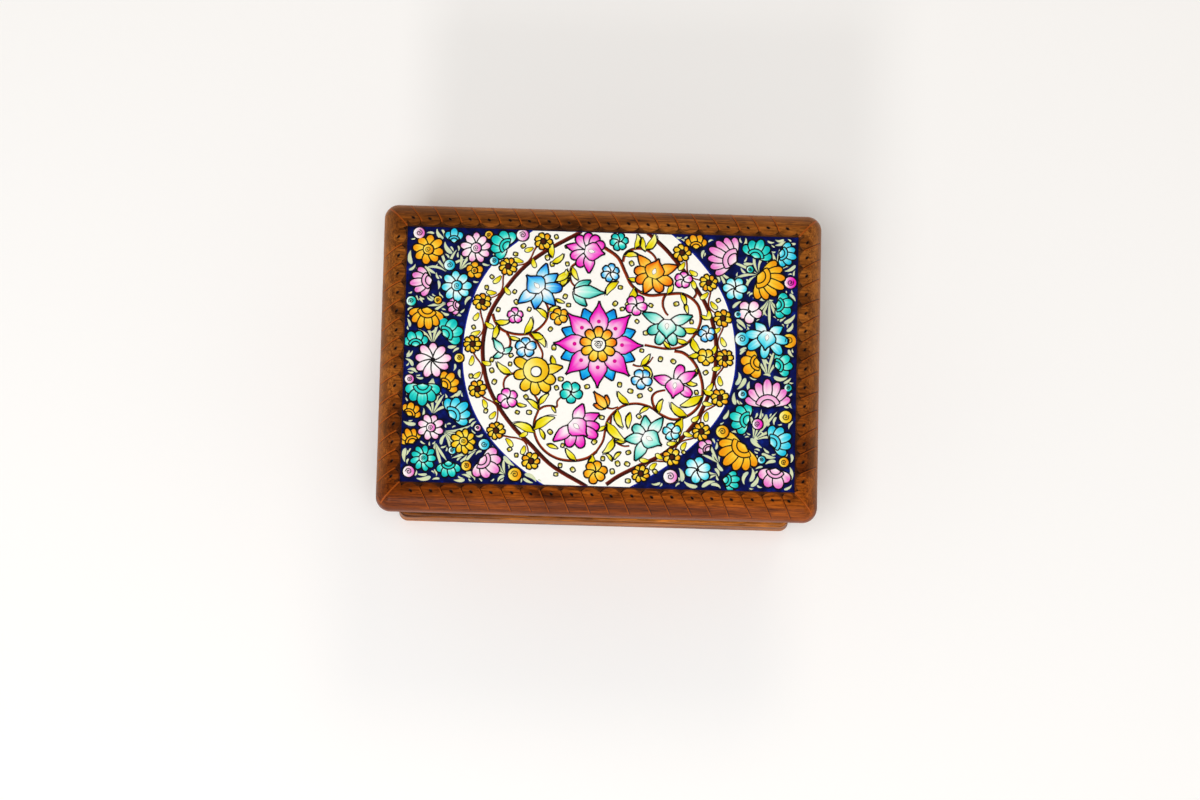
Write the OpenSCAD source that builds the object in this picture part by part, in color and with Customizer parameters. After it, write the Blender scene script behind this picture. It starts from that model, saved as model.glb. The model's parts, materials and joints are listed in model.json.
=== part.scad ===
// Walnut box with a carved, hinged lid and a painted papier mache panel let into the lid.
// The box stands on Z = 0, centred on X and Y. The hinges are at the back, +Y.

/* [Lid] */
// Length of the lid
lid_w = 150; // [120:1:200]
// Depth of the lid, front to back
lid_d = 107.6; // [90:0.1:140]
// Thickness of the lid board
lid_t = 9; // [8:0.5:12]
// Width of the carved rim along the long sides
rim_long = 8.8; // [7:0.1:12]
// Width of the carved rim along the short sides
rim_short = 8; // [7:0.1:12]
// Flat part of the rim beside the panel, inside the rounded shoulder
rim_flat = 2; // [1.6:0.1:3]
// How far the shoulder falls before it meets the side
shoulder_drop = 5.5; // [3:0.1:6]
// Corner radius of the lid in plan
lid_corner_r = 5; // [3:0.5:8]
// Rounding of the lid's lower edge
lid_edge_r = 1.2; // [0.6:0.1:1.6]

/* [Carved border] */
// Carved petals along each long side
petals_long = 20; // [12:1:24]
// Carved petals along each short side
petals_short = 14; // [8:1:17]
// Width of a groove between two petals
groove_w = 0.55; // [0.4:0.05:0.8]
// Depth of a groove
groove_depth = 0.4; // [0.2:0.05:0.6]
// How far a groove leans back along its side
groove_lean = 3.8; // [2:0.1:5]
// Plain wood left outside the end of a groove
groove_margin = 0.3; // [0.2:0.05:1.5]
// How far a petal's round head stands over its notches
head_rise = 1.6; // [1:0.1:1.9]
// Plain wood between a petal's head and the panel
head_margin = 0.2; // [0.1:0.05:0.4]
// Depth of the chips cut out between the heads
chip_depth = 0.6; // [0.3:0.05:0.8]
// Distance of the punched dots from the panel
dot_reach = 2.9; // [2.5:0.1:3.5]
// Width of a punched dot
dot_d = 0.9; // [0.5:0.1:1.2]
// Depth of a punched dot
dot_depth = 0.7; // [0.4:0.1:0.9]

/* [Painted panel] */
// Thickness of the papier mache panel
panel_t = 2.6; // [1.5:0.1:3]
// How far the panel lies below the rim
panel_drop = 0.6; // [0.2:0.1:1]
// Play round the panel in its recess
panel_play = 0.1; // [0.05:0.05:0.3]

/* [Body] */
// How far the lid stands out past the base board along the long sides
overhang_long = 8.3; // [5:0.1:9]
// How far the lid stands out past the base board along the short sides
overhang_short = 7.5; // [5:0.1:9]
// Thickness of the base board
base_t = 8.5; // [7:0.5:12]
// Corner radius of the base board in plan
base_corner_r = 3.2; // [2:0.2:6]
// Rounding of the base board's upper edge
base_edge_r = 0.8; // [0.4:0.1:1.2]
// How far the walls stand in from the edge of the base board
wall_inset = 0.9; // [0.5:0.1:2]
// Thickness of the walls
wall_t = 6.5; // [6:0.5:10]
// Height of the walls above the base board
wall_h = 38.3; // [25:0.1:70]
// Radius of the bead on top of the base board
bead_r = 0.7; // [0.4:0.1:1]
// Width of the groove under the bead
bead_groove = 0.5; // [0.3:0.1:0.8]
// Flat fillet between the bead and the walls
bead_fillet = 0.2; // [0.1:0.1:0.5]
// Gap between the walls and the closed lid
seam_gap = 0.2; // [0.1:0.05:0.3]

/* [Lining] */
// Thickness of the velvet covered card on the floor
lining_t = 1.2; // [0.8:0.1:3]
// Play between the card and the walls
lining_play = 0.2; // [0.1:0.05:0.5]

/* [Hinges] */
// Distance from the end of the back wall to the middle of a hinge
hinge_edge = 28.6; // [22:0.1:36]
// Length of a hinge along its pin
hinge_l = 18; // [14:1:24]
// Width of a leaf inside the joint
leaf_w = 5; // [4.5:0.1:5.8]
// Thickness of a leaf
leaf_t = 0.8; // [0.6:0.1:1]
// Outer radius of the knuckles
knuckle_r = 1.5; // [1.3:0.1:1.8]
// Radius of the hinge pin
pin_r = 0.6; // [0.5:0.05:0.7]
// Running clearance between pin and knuckles
pin_play = 0.05; // [0.02:0.01:0.1]
// Gap between neighbouring knuckles
knuckle_gap = 0.2; // [0.1:0.05:0.4]
// How far the pin's peened ends stand out over its shank
pin_head = 0.3; // [0.2:0.05:0.4]
// Gap between a knuckle and the wood
knuckle_play = 0.3; // [0.2:0.05:0.5]
// Play round a leaf in its mortise
leaf_play = 0.1; // [0.05:0.05:0.2]

/* [Screws] */
// Shank radius of the hinge screws
screw_r = 0.75; // [0.6:0.05:0.9]
// Head radius of the hinge screws
screw_head_r = 1.4; // [1.2:0.05:1.6]
// Length of the hinge screws
screw_l = 5.5; // [4:0.5:6.5]
// Distance of the hinge screws from the ends of the leaf
screw_edge = 3.6; // [2.5:0.1:4.5]
// Shank radius of the screws under the base board
base_screw_r = 1.25; // [1:0.05:1.5]
// Head radius of the screws under the base board
base_screw_head_r = 2.4; // [2:0.1:2.8]
// Length of the screws under the base board
base_screw_l = 17; // [12:1:24]
// How deep the base screws' heads lie in the wood
base_screw_sink = 0.6; // [0.3:0.1:1.5]
// Distance of a long wall's base screws from its ends
base_screw_edge = 21.6; // [11:0.1:36]
// Clearance between a screw and its hole
screw_play = 0.02; // [0.01:0.01:0.05]
// Width of the slot in a screw's head
slot_w = 0.4; // [0.3:0.05:0.6]

/* [Hidden] */
$fn = 64;
over = 1; // how far a cutting shape reaches past what it cuts

// plan sizes, from the lid inward
panel_w = lid_w - 2 * rim_short;
panel_d = lid_d - 2 * rim_long;
base_w = lid_w - 2 * overhang_short;
base_d = lid_d - 2 * overhang_long;
body_w = base_w - 2 * wall_inset;
body_d = base_d - 2 * wall_inset;
body_corner_r = base_corner_r - wall_inset;
room_w = body_w - 2 * wall_t;
room_d = body_d - 2 * wall_t;

// heights
wall_top = base_t + wall_h;
lid_z = wall_top + seam_gap;
plinth_h = base_t - bead_fillet - 2 * bead_r - bead_groove;
recess_depth = panel_t + panel_drop;

// rounded shoulder of the lid: an arc that leaves the flat top level and ends on the side
function shoulder_r(run) = (pow(run, 2) + pow(shoulder_drop, 2)) / (2 * shoulder_drop);

// hinge line
hinge_x = body_w / 2 - hinge_edge;
hinge_y = body_d / 2 + knuckle_play + knuckle_r;
hinge_z = wall_top + seam_gap / 2;
knuckle_l = (hinge_l - 2 * knuckle_gap) / 3;
bore_r = pin_r + pin_play;
leaf_inner_y = body_d / 2 - leaf_w;
screw_y = body_d / 2 - leaf_w / 2;
screw_x = hinge_l / 2 - screw_edge;
hinge_screw_places = [for (x = [-hinge_x, hinge_x], side = [-screw_x, screw_x]) [x + side, screw_y]];

// screws under the base board, in the middle of the walls
base_screw_x = body_w / 2 - base_screw_edge;
base_screw_y = body_d / 2 - wall_t / 2;
base_screw_places = [
    for (x = [-base_screw_x, base_screw_x], y = [-base_screw_y, base_screw_y]) [x, y],
    [-body_w / 2 + wall_t / 2, 0],
    [body_w / 2 - wall_t / 2, 0]
];

walnut = "#6b4226";
brass = "#c9a24b";
steel = "#9a9da0";

// ---- plan shapes ----

module rounded_plan(w, d, r) {
    square([w - 2 * r, d], center = true);
    square([w, d - 2 * r], center = true);
    for (x = [-1, 1], y = [-1, 1])
        translate([x * (w / 2 - r), y * (d / 2 - r)]) circle(r);
}

// ---- lid ----

// Section across the lid, its top lowered by sink: flat in the middle, with a round shoulder each side
module lid_section(span, rim, sink = 0) {
    top = lid_t - sink;
    run = rim - rim_flat;
    flat_half = span / 2 - run;
    difference() {
        translate([-span / 2, 0]) square([span, top]);
        for (side = [-1, 1])
            scale([side, 1]) {
                difference() {
                    translate([flat_half, top - shoulder_drop]) square([run + over, shoulder_drop + over]);
                    translate([flat_half, top - shoulder_r(run)]) circle(shoulder_r(run), $fn = 128);
                }
                difference() {
                    translate([span / 2 - lid_edge_r, -over]) square([lid_edge_r + over, lid_edge_r + over]);
                    translate([span / 2 - lid_edge_r, lid_edge_r]) circle(lid_edge_r);
                }
            }
    }
}

module lid_blank(sink = 0, inset = 0) {
    w = lid_w - 2 * inset;
    d = lid_d - 2 * inset;
    intersection() {
        rotate([90, 0, 0]) linear_extrude(d + 2 * over, center = true) lid_section(lid_w, rim_short, sink);
        rotate([90, 0, 90]) linear_extrude(w + 2 * over, center = true) lid_section(lid_d, rim_long, sink);
        translate([0, 0, inset]) linear_extrude(lid_t) rounded_plan(w, d, lid_corner_r);
    }
}

// Runs its children on each side of the panel, with +Y pointing outward and Y = 0 on the panel's edge
module on_each_side() {
    for (turn = [0 : 3])
        rotate([0, 0, -90 * turn]) {
            long_side = turn % 2 == 0;
            $along = long_side ? panel_w : panel_d;
            $petals = long_side ? petals_long : petals_short;
            $rim = long_side ? rim_long : rim_short;
            translate([0, (long_side ? panel_d : panel_w) / 2, 0]) children();
        }
}

// Slots for the grooves: they go deep here, and the lowered blank fills them up again to their true depth
module groove_slots() {
    slot_h = shoulder_drop + 2 * over;
    on_each_side() {
        reach = $rim - groove_margin - head_rise;
        slot_l = sqrt(pow(reach, 2) + pow(groove_lean, 2));
        for (i = [1 : $petals])
            translate([-$along / 2 + i * $along / $petals, head_rise, lid_t - shoulder_drop - over])
                rotate([0, 0, atan2(reach, -groove_lean)])
                    translate([0, -groove_w / 2, 0]) cube([slot_l, groove_w, slot_h]);
    }
    corner_l = sqrt(pow(rim_long, 2) + pow(rim_short, 2)) - lid_corner_r * (sqrt(2) - 1);
    for (x = [-1, 1], y = [-1, 1])
        translate([x * panel_w / 2, y * panel_d / 2, lid_t - shoulder_drop - over])
            rotate([0, 0, atan2(y * rim_long, x * rim_short)])
                translate([0, -groove_w / 2, 0]) cube([corner_l - groove_margin, groove_w, slot_h]);
}

// Chips between the round heads of the petals, and the punched dots
module chips_and_dots() {
    on_each_side() {
        pitch = $along / $petals;
        head_r = (pow(pitch / 2, 2) + pow(head_rise, 2)) / (2 * head_rise);
        translate([0, 0, lid_t - chip_depth]) linear_extrude(chip_depth + over) difference() {
            translate([-$along / 2 - head_margin, -over]) square([$along + 2 * head_margin, over + head_rise]);
            for (i = [0 : $petals - 1])
                translate([-$along / 2 + (i + 0.5) * pitch, head_margin + head_r]) circle(head_r);
        }
        for (i = [0 : $petals - 1])
            translate([-$along / 2 + (i + 0.5) * pitch, dot_reach, lid_t - dot_depth])
                cylinder(h = dot_depth + over, r1 = 0.1, r2 = dot_d / 2 * (dot_depth + over) / dot_depth);
    }
}

module lid_board() {
    color(walnut) translate([0, 0, lid_z]) difference() {
        union() {
            difference() {
                lid_blank();
                groove_slots();
            }
            lid_blank(sink = groove_depth, inset = groove_margin / 2);
        }
        chips_and_dots();
        translate([-panel_w / 2, -panel_d / 2, lid_t - recess_depth]) cube([panel_w, panel_d, recess_depth + over]);
        translate([0, 0, -lid_z]) for (x = [-hinge_x, hinge_x]) {
            leaf_bed(x, lid_z - over);
            hinge_cove(x);
        }
        for (place = hinge_screw_places)
            translate([place[0], place[1], 0]) mirror([0, 0, 1]) screw_hole(screw_r, screw_l);
    }
}

module painted_panel() {
    color("#20305f") translate([-panel_w / 2 + panel_play, -panel_d / 2 + panel_play, lid_z + lid_t - recess_depth])
        cube([panel_w - 2 * panel_play, panel_d - 2 * panel_play, panel_t]);
}

// ---- body ----

// Half round bead that runs round a rounded rectangle
module bead_ring(w, d, corner_r, r) {
    for (x = [-1, 1])
        translate([x * w / 2, 0, 0]) rotate([90, 0, 0]) cylinder(h = d - 2 * corner_r, r = r, center = true);
    for (y = [-1, 1])
        translate([0, y * d / 2, 0]) rotate([0, 90, 0]) cylinder(h = w - 2 * corner_r, r = r, center = true);
    for (turn = [0 : 3])
        translate([(turn == 0 || turn == 3 ? 1 : -1) * (w / 2 - corner_r), (turn < 2 ? 1 : -1) * (d / 2 - corner_r), 0])
            rotate([0, 0, 90 * turn]) rotate_extrude(angle = 90) translate([corner_r, 0]) circle(r);
}

// Flat board with rounded corners in plan and a rounded upper edge
module rounded_slab(w, d, h, corner_r, edge_r) {
    intersection() {
        rotate([90, 0, 0]) linear_extrude(d + 2 * over, center = true) edge_section(w, h, edge_r);
        rotate([90, 0, 90]) linear_extrude(w + 2 * over, center = true) edge_section(d, h, edge_r);
        linear_extrude(h) rounded_plan(w, d, corner_r);
    }
}

module edge_section(span, h, r) {
    difference() {
        translate([-span / 2, -over]) square([span, h + over]);
        for (side = [-1, 1])
            scale([side, 1]) difference() {
                translate([span / 2 - r, h - r]) square(r + over);
                translate([span / 2 - r, h - r]) circle(r);
            }
    }
}

module base_board() {
    color(walnut) difference() {
        union() {
            rounded_slab(base_w, base_d, plinth_h, base_corner_r, base_edge_r);
            linear_extrude(base_t) rounded_plan(body_w, body_d, body_corner_r);
            translate([0, 0, base_t - bead_fillet - bead_r]) bead_ring(body_w, body_d, body_corner_r, bead_r);
        }
        base_screw_holes();
    }
}

// One wall of the mitred frame: corners gives the two outer ends as signs of X and Y
module wall(corners) {
    a = corners[0];
    b = corners[1];
    difference() {
        translate([0, 0, base_t]) linear_extrude(wall_h) intersection() {
            difference() {
                rounded_plan(body_w, body_d, body_corner_r);
                square([room_w, room_d], center = true);
            }
            polygon([
                [a[0] * (body_w / 2 + over), a[1] * (body_d / 2 + over)],
                [b[0] * (body_w / 2 + over), b[1] * (body_d / 2 + over)],
                [b[0] * room_w / 2, b[1] * room_d / 2],
                [a[0] * room_w / 2, a[1] * room_d / 2]
            ]);
        }
        base_screw_holes();
    }
}

module front_wall() {
    color(walnut) wall([[-1, -1], [1, -1]]);
}

module back_wall() {
    color(walnut) difference() {
        wall([[1, 1], [-1, 1]]);
        for (x = [-hinge_x, hinge_x]) leaf_bed(x, wall_top - leaf_t);
        for (place = hinge_screw_places) translate([place[0], place[1], wall_top]) screw_hole(screw_r, screw_l);
    }
}

module left_wall() {
    color(walnut) wall([[-1, 1], [-1, -1]]);
}

module right_wall() {
    color(walnut) wall([[1, -1], [1, 1]]);
}

module floor_lining() {
    color("#5c1226") translate([0, 0, base_t + lining_t / 2])
        cube([room_w - 2 * lining_play, room_d - 2 * lining_play, lining_t], center = true);
}

// ---- screws: each lies on its head's top face and points down ----

module screw(shank_r, head_r, length) {
    head_h = head_r - shank_r;
    color(steel) difference() {
        union() {
            translate([0, 0, -head_h]) cylinder(h = head_h, r1 = shank_r, r2 = head_r);
            translate([0, 0, shank_r - length]) cylinder(h = length - shank_r - head_h, r = shank_r);
            translate([0, 0, -length]) cylinder(h = shank_r, r1 = shank_r / 4, r2 = shank_r);
        }
        translate([-head_r, -slot_w / 2, -head_h / 2]) cube([2 * head_r, slot_w, head_h]);
    }
}

module screw_hole(shank_r, length) {
    translate([0, 0, -length - screw_play]) cylinder(h = length + over, r = shank_r + screw_play);
}

// Seat for a countersunk head whose top lies sunk below the surface at Z = 0
module head_seat(shank_r, head_r, sunk = 0) {
    r = head_r + screw_play;
    translate([0, 0, -sunk]) cylinder(h = sunk + over, r = r);
    translate([0, 0, -sunk - head_r + shank_r]) cylinder(h = head_r - shank_r, r1 = shank_r + screw_play, r2 = r);
}

module at_base_screws() {
    for (place = base_screw_places) translate([place[0], place[1], 0]) mirror([0, 0, 1]) children();
}

module base_screw_holes() {
    at_base_screws() {
        translate([0, 0, -base_screw_sink]) screw_hole(base_screw_r, base_screw_l);
        head_seat(base_screw_r, base_screw_head_r, base_screw_sink);
    }
}

module base_screws() {
    at_base_screws() translate([0, 0, -base_screw_sink]) screw(base_screw_r, base_screw_head_r, base_screw_l);
}

module body_hinge_screws() {
    for (place = hinge_screw_places)
        translate([place[0], place[1], wall_top]) color(brass) screw(screw_r, screw_head_r, screw_l);
}

module lid_hinge_screws() {
    for (place = hinge_screw_places)
        translate([place[0], place[1], lid_z]) mirror([0, 0, 1]) color(brass) screw(screw_r, screw_head_r, screw_l);
}

// ---- hinges ----

// Mortise for a leaf, open at the back of the wood, with its floor or ceiling at the leaf's face
module leaf_bed(x, bottom) {
    translate([x - hinge_l / 2 - leaf_play, leaf_inner_y - leaf_play, bottom])
        cube([hinge_l + 2 * leaf_play, hinge_y - leaf_inner_y + leaf_play, leaf_t + over]);
}

// Hollow under the lid's overhang that the knuckles turn in
module hinge_cove(x) {
    l = hinge_l + 2 * (pin_head + knuckle_play);
    translate([x - l / 2, hinge_y, hinge_z]) rotate([0, 90, 0]) cylinder(h = l, r = knuckle_r + knuckle_play);
}

// One leaf at the hinge line, seen from above: knuckles lists the thirds that it holds, -1, 0 or 1
module leaf(knuckles) {
    step = knuckle_l + knuckle_gap;
    clear_y = -knuckle_r - knuckle_gap;
    color(brass) difference() {
        union() {
            translate([-hinge_l / 2, leaf_inner_y - hinge_y, -seam_gap / 2 - leaf_t])
                cube([hinge_l, clear_y - leaf_inner_y + hinge_y, leaf_t]);
            for (k = knuckles) translate([k * step - knuckle_l / 2, 0, 0]) {
                translate([0, clear_y - over, -seam_gap / 2 - leaf_t]) cube([knuckle_l, over - clear_y, leaf_t]);
                rotate([0, 90, 0]) cylinder(h = knuckle_l, r = knuckle_r);
            }
        }
        translate([-hinge_l / 2 - over, 0, 0]) rotate([0, 90, 0]) cylinder(h = hinge_l + 2 * over, r = bore_r);
        for (x = [-screw_x, screw_x]) translate([x, screw_y - hinge_y, -seam_gap / 2]) {
            screw_hole(screw_r, leaf_t + over);
            head_seat(screw_r, screw_head_r);
        }
    }
}

module body_leaf(x) {
    translate([x, hinge_y, hinge_z]) leaf([-1, 1]);
}

module lid_leaf(x) {
    translate([x, hinge_y, hinge_z]) mirror([0, 0, 1]) leaf([0]);
}

module hinge_pin(x) {
    color(brass) translate([x - hinge_l / 2 - pin_head, hinge_y, hinge_z]) rotate([0, 90, 0]) {
        cylinder(h = hinge_l + 2 * pin_head, r = pin_r);
        for (end = [0, hinge_l + pin_head]) translate([0, 0, end]) cylinder(h = pin_head, r = pin_r + pin_head);
    }
}

module left_hinge_body_leaf() {
    body_leaf(-hinge_x);
}

module left_hinge_lid_leaf() {
    lid_leaf(-hinge_x);
}

module left_hinge_pin() {
    hinge_pin(-hinge_x);
}

module right_hinge_body_leaf() {
    body_leaf(hinge_x);
}

module right_hinge_lid_leaf() {
    lid_leaf(hinge_x);
}

module right_hinge_pin() {
    hinge_pin(hinge_x);
}

base_board();
front_wall();
back_wall();
left_wall();
right_wall();
base_screws();
floor_lining();
lid_board();
painted_panel();
left_hinge_body_leaf();
left_hinge_lid_leaf();
left_hinge_pin();
right_hinge_body_leaf();
right_hinge_lid_leaf();
right_hinge_pin();
body_hinge_screws();
lid_hinge_screws();
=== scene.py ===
"""Walnut box with a carved, hinged lid and a painted papier mache panel."""

import json
import math

import bmesh
import bpy
import numpy as np
from mathutils import Matrix, Vector


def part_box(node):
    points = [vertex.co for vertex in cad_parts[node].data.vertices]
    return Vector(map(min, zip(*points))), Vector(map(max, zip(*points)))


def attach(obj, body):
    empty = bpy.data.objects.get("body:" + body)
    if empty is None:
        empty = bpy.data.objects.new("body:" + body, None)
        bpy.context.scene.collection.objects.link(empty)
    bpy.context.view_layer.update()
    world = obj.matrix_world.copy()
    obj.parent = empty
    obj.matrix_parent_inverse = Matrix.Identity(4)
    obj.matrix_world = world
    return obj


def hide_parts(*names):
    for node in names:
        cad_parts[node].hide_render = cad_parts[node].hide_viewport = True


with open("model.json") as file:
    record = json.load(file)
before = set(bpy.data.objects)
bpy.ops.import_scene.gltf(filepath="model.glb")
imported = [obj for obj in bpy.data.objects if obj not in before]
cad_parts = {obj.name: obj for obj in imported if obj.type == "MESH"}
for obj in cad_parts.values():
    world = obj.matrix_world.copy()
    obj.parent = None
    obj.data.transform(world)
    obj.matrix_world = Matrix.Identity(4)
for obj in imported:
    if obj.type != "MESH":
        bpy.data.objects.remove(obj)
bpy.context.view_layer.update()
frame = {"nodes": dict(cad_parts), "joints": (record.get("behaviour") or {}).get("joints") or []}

MM = 0.001

# ---- sizes, in mm, from the frame ----


def box_mm(node):
    low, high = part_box(node)
    return np.array(low) / MM, np.array(high) / MM


LID_LOW, LID_HIGH = box_mm("lid_board")
PANEL_LOW, PANEL_HIGH = box_mm("painted_panel")
LID_W, LID_D, LID_T = LID_HIGH - LID_LOW
LID_Z = LID_LOW[2]
PANEL_PLAY = 0.1
PANEL_W, PANEL_D = (PANEL_HIGH - PANEL_LOW)[:2] + 2 * PANEL_PLAY  # of the recess for it
RIM_SHORT = (LID_W - PANEL_W) / 2
RIM_LONG = (LID_D - PANEL_D) / 2
PANEL_Z = PANEL_HIGH[2]
RECESS_Z = PANEL_LOW[2]

# ---- camera, lamps and floor ----

CAMERA_TILT = 14.36  # degrees from straight down, towards the front
CAMERA_YAW = -4.09
CAMERA_ROLL = 5.6
CAMERA_FAR = 2268.0
CAMERA_AIM = (0.24, -14.63, 56.0)
CAMERA_LENS = 200.0
CAMERA_SENSOR = 36.0
CAMERA_CLIP = 20.0  # m
SKY_COLOUR = (1.0, 0.95, 0.90, 1)
SKY_DIMS = (0.12, 0.80)  # from which height of a direction, and up to which, the sky dims
SKY_STRENGTH = (1.0, 0.10)  # near the horizon, and overhead, where the varnish mirrors it
FLOOR_SIZE = 6.0  # m
FLOOR_Z = -0.0002
FLOOR_LIT = (0.80, 0.79, 0.77)  # its colour for the light that it sends back
FLOOR_SEEN = (0.99, 0.985, 0.98)  # and for the camera, metal and glass
AIM = (0, 0, 0.03)
LAMPS = [  # name, place, size in m, power in W, colour, whether varnish mirrors it
    ("key", (-0.15, -0.50, 1.45), 0.8, 13.3, (0.97, 0.99, 1.0), False),
    ("front", (-0.30, -1.45, 0.85), 0.4, 7.5, (1.0, 0.99, 0.98), True),
    ("back", (0.25, 1.15, 1.00), 0.6, 3.0, (1.0, 0.86, 0.70), False),
]


def new_object(name, data):
    made = bpy.data.objects.new(name, data)
    bpy.context.scene.collection.objects.link(made)
    return made


def make_camera():
    data = bpy.data.cameras.new("camera")
    data.lens = CAMERA_LENS
    data.sensor_width = CAMERA_SENSOR
    data.clip_end = CAMERA_CLIP
    camera = new_object("camera", data)
    turn = (
        Matrix.Rotation(math.radians(CAMERA_YAW), 4, "Z")
        @ Matrix.Rotation(math.radians(CAMERA_TILT), 4, "X")
        @ Matrix.Rotation(math.radians(CAMERA_ROLL), 4, "Z")
    )
    away = turn.to_3x3() @ Vector((0, 0, CAMERA_FAR))
    camera.matrix_world = Matrix.Translation((Vector(CAMERA_AIM) + away) * MM) @ turn
    bpy.context.scene.camera = camera


def make_lamp(name, place, size, power, colour, mirrored):
    data = bpy.data.lights.new(name, "AREA")
    data.shape = "DISK"
    data.size = size
    data.energy = power
    data.color = colour
    lamp = new_object(name, data)
    lamp.visible_glossy = mirrored
    lamp.location = Vector(place)
    lamp.rotation_euler = (Vector(AIM) - Vector(place)).to_track_quat("-Z", "Y").to_euler()


def make_light():
    scene = bpy.context.scene
    scene.view_settings.view_transform = "Standard"
    scene.world = bpy.data.worlds.new("studio")
    scene.world.use_nodes = True
    nodes = scene.world.node_tree.nodes
    nodes.clear()
    where = nodes.new("ShaderNodeTexCoord")
    split = fill(nodes.new("ShaderNodeSeparateXYZ"), Vector=where.outputs["Generated"])
    dim = fill(nodes.new("ShaderNodeMapRange"), Value=split.outputs["Z"])
    fill(dim, From_Min=SKY_DIMS[0], From_Max=SKY_DIMS[1])
    fill(dim, To_Min=SKY_STRENGTH[0], To_Max=SKY_STRENGTH[1])
    sky = fill(nodes.new("ShaderNodeBackground"), Color=SKY_COLOUR, Strength=dim.outputs["Result"])
    fill(nodes.new("ShaderNodeOutputWorld"), Surface=sky.outputs[0])
    for lamp in LAMPS:
        make_lamp(*lamp)


def make_floor():
    bpy.ops.mesh.primitive_plane_add(size=FLOOR_SIZE, location=(0, 0, FLOOR_Z))
    floor = bpy.context.object
    floor.name = "floor"
    n = Nodes("floor_paper")
    ray = n.add("LightPath").outputs
    seen = n.math("MAXIMUM", ray["Is Camera Ray"], ray["Is Glossy Ray"])
    seen = n.math("MAXIMUM", seen, ray["Is Transmission Ray"])
    n.set(Base_Color=n.mix(seen, FLOOR_LIT, FLOOR_SEEN), Roughness=0.9, Specular_IOR_Level=0.1)
    floor.data.materials.append(n.material)


# ---- materials ----


def put(socket, value):
    """Links an output, or sets a plain value."""
    if isinstance(value, bpy.types.NodeSocket):
        socket.id_data.links.new(value, socket)
    else:
        socket.default_value = value


def fill(node, **values):
    """Puts values in a node's sockets by name, with _ for a space."""
    for name, value in values.items():
        put(node.inputs[name.replace("_", " ")], value)
    return node


class Nodes:
    """Short ways to add nodes to a material."""

    def __init__(self, name):
        self.material = bpy.data.materials.new(name)
        self.material.use_nodes = True
        self.nodes = self.material.node_tree.nodes

    def add(self, kind, **settings):
        node = self.nodes.new("ShaderNode" + kind)
        for key, value in settings.items():
            setattr(node, key, value)
        return node

    def mapped(self, scale, shift=(0, 0, 0)):
        where = self.add("TexCoord").outputs["Object"]
        node = fill(self.add("Mapping"), Vector=where, Scale=scale, Location=shift)
        return node.outputs["Vector"]

    def noise(self, vector, detail=3.0, rough=0.5, distort=0.0):
        node = fill(self.add("TexNoise"), Vector=vector, Scale=1.0, Detail=detail)
        return fill(node, Roughness=rough, Distortion=distort).outputs["Fac"]

    def ramp(self, fac, *stops):
        node = fill(self.add("ValToRGB"), Fac=fac)
        elements = node.color_ramp.elements
        while len(elements) < len(stops):
            elements.new(0.5)
        for element, (at, colour) in zip(elements, stops):
            element.position = at
            element.color = (*colour, 1)
        return node.outputs["Color"]

    def grey(self, fac, low, high, at=(0.0, 1.0)):
        node = fill(self.add("MapRange"), Value=fac, From_Min=at[0], From_Max=at[1])
        return fill(node, To_Min=low, To_Max=high).outputs["Result"]

    def mix(self, fac, a, b, how="MIX"):
        node = fill(self.add("Mix", data_type="RGBA", blend_type=how), Factor=fac)
        for socket, value in ((node.inputs[6], a), (node.inputs[7], b)):
            put(socket, (*value, 1) if isinstance(value, tuple) else value)
        return node.outputs[2]

    def math(self, what, a, b):
        node = self.add("Math", operation=what)
        put(node.inputs[0], a)
        put(node.inputs[1], b)
        return node.outputs[0]

    def attribute(self, name, output="Fac"):
        return self.add("Attribute", attribute_name=name).outputs[output]

    def bump(self, height, strength, distance_mm):
        node = fill(self.add("Bump"), Height=height, Strength=strength, Distance=distance_mm * MM)
        return node.outputs["Normal"]

    def set(self, **values):
        fill(self.nodes["Principled BSDF"], **values)


WALNUT_DARK = (0.080, 0.022, 0.003)
WALNUT_BROWN = (0.195, 0.060, 0.008)
WALNUT_AMBER = (0.330, 0.115, 0.018)
WALNUT_PORE = (0.030, 0.010, 0.003)
# wear with a painted highlight, for the outer shoulders
WALNUT_WORN_LIT = (0.56, 0.21, 0.03)
# freshly cut red wood with a painted highlight, for one wall of each groove
WALNUT_FRESH_LIT = (0.50, 0.105, 0.010)
WALNUT_CUT_SHADE = (0.006, 0.003, 0.002)  # painted shade in the cuts: crescents, arcs, chips, dots and one wall of each groove


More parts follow.
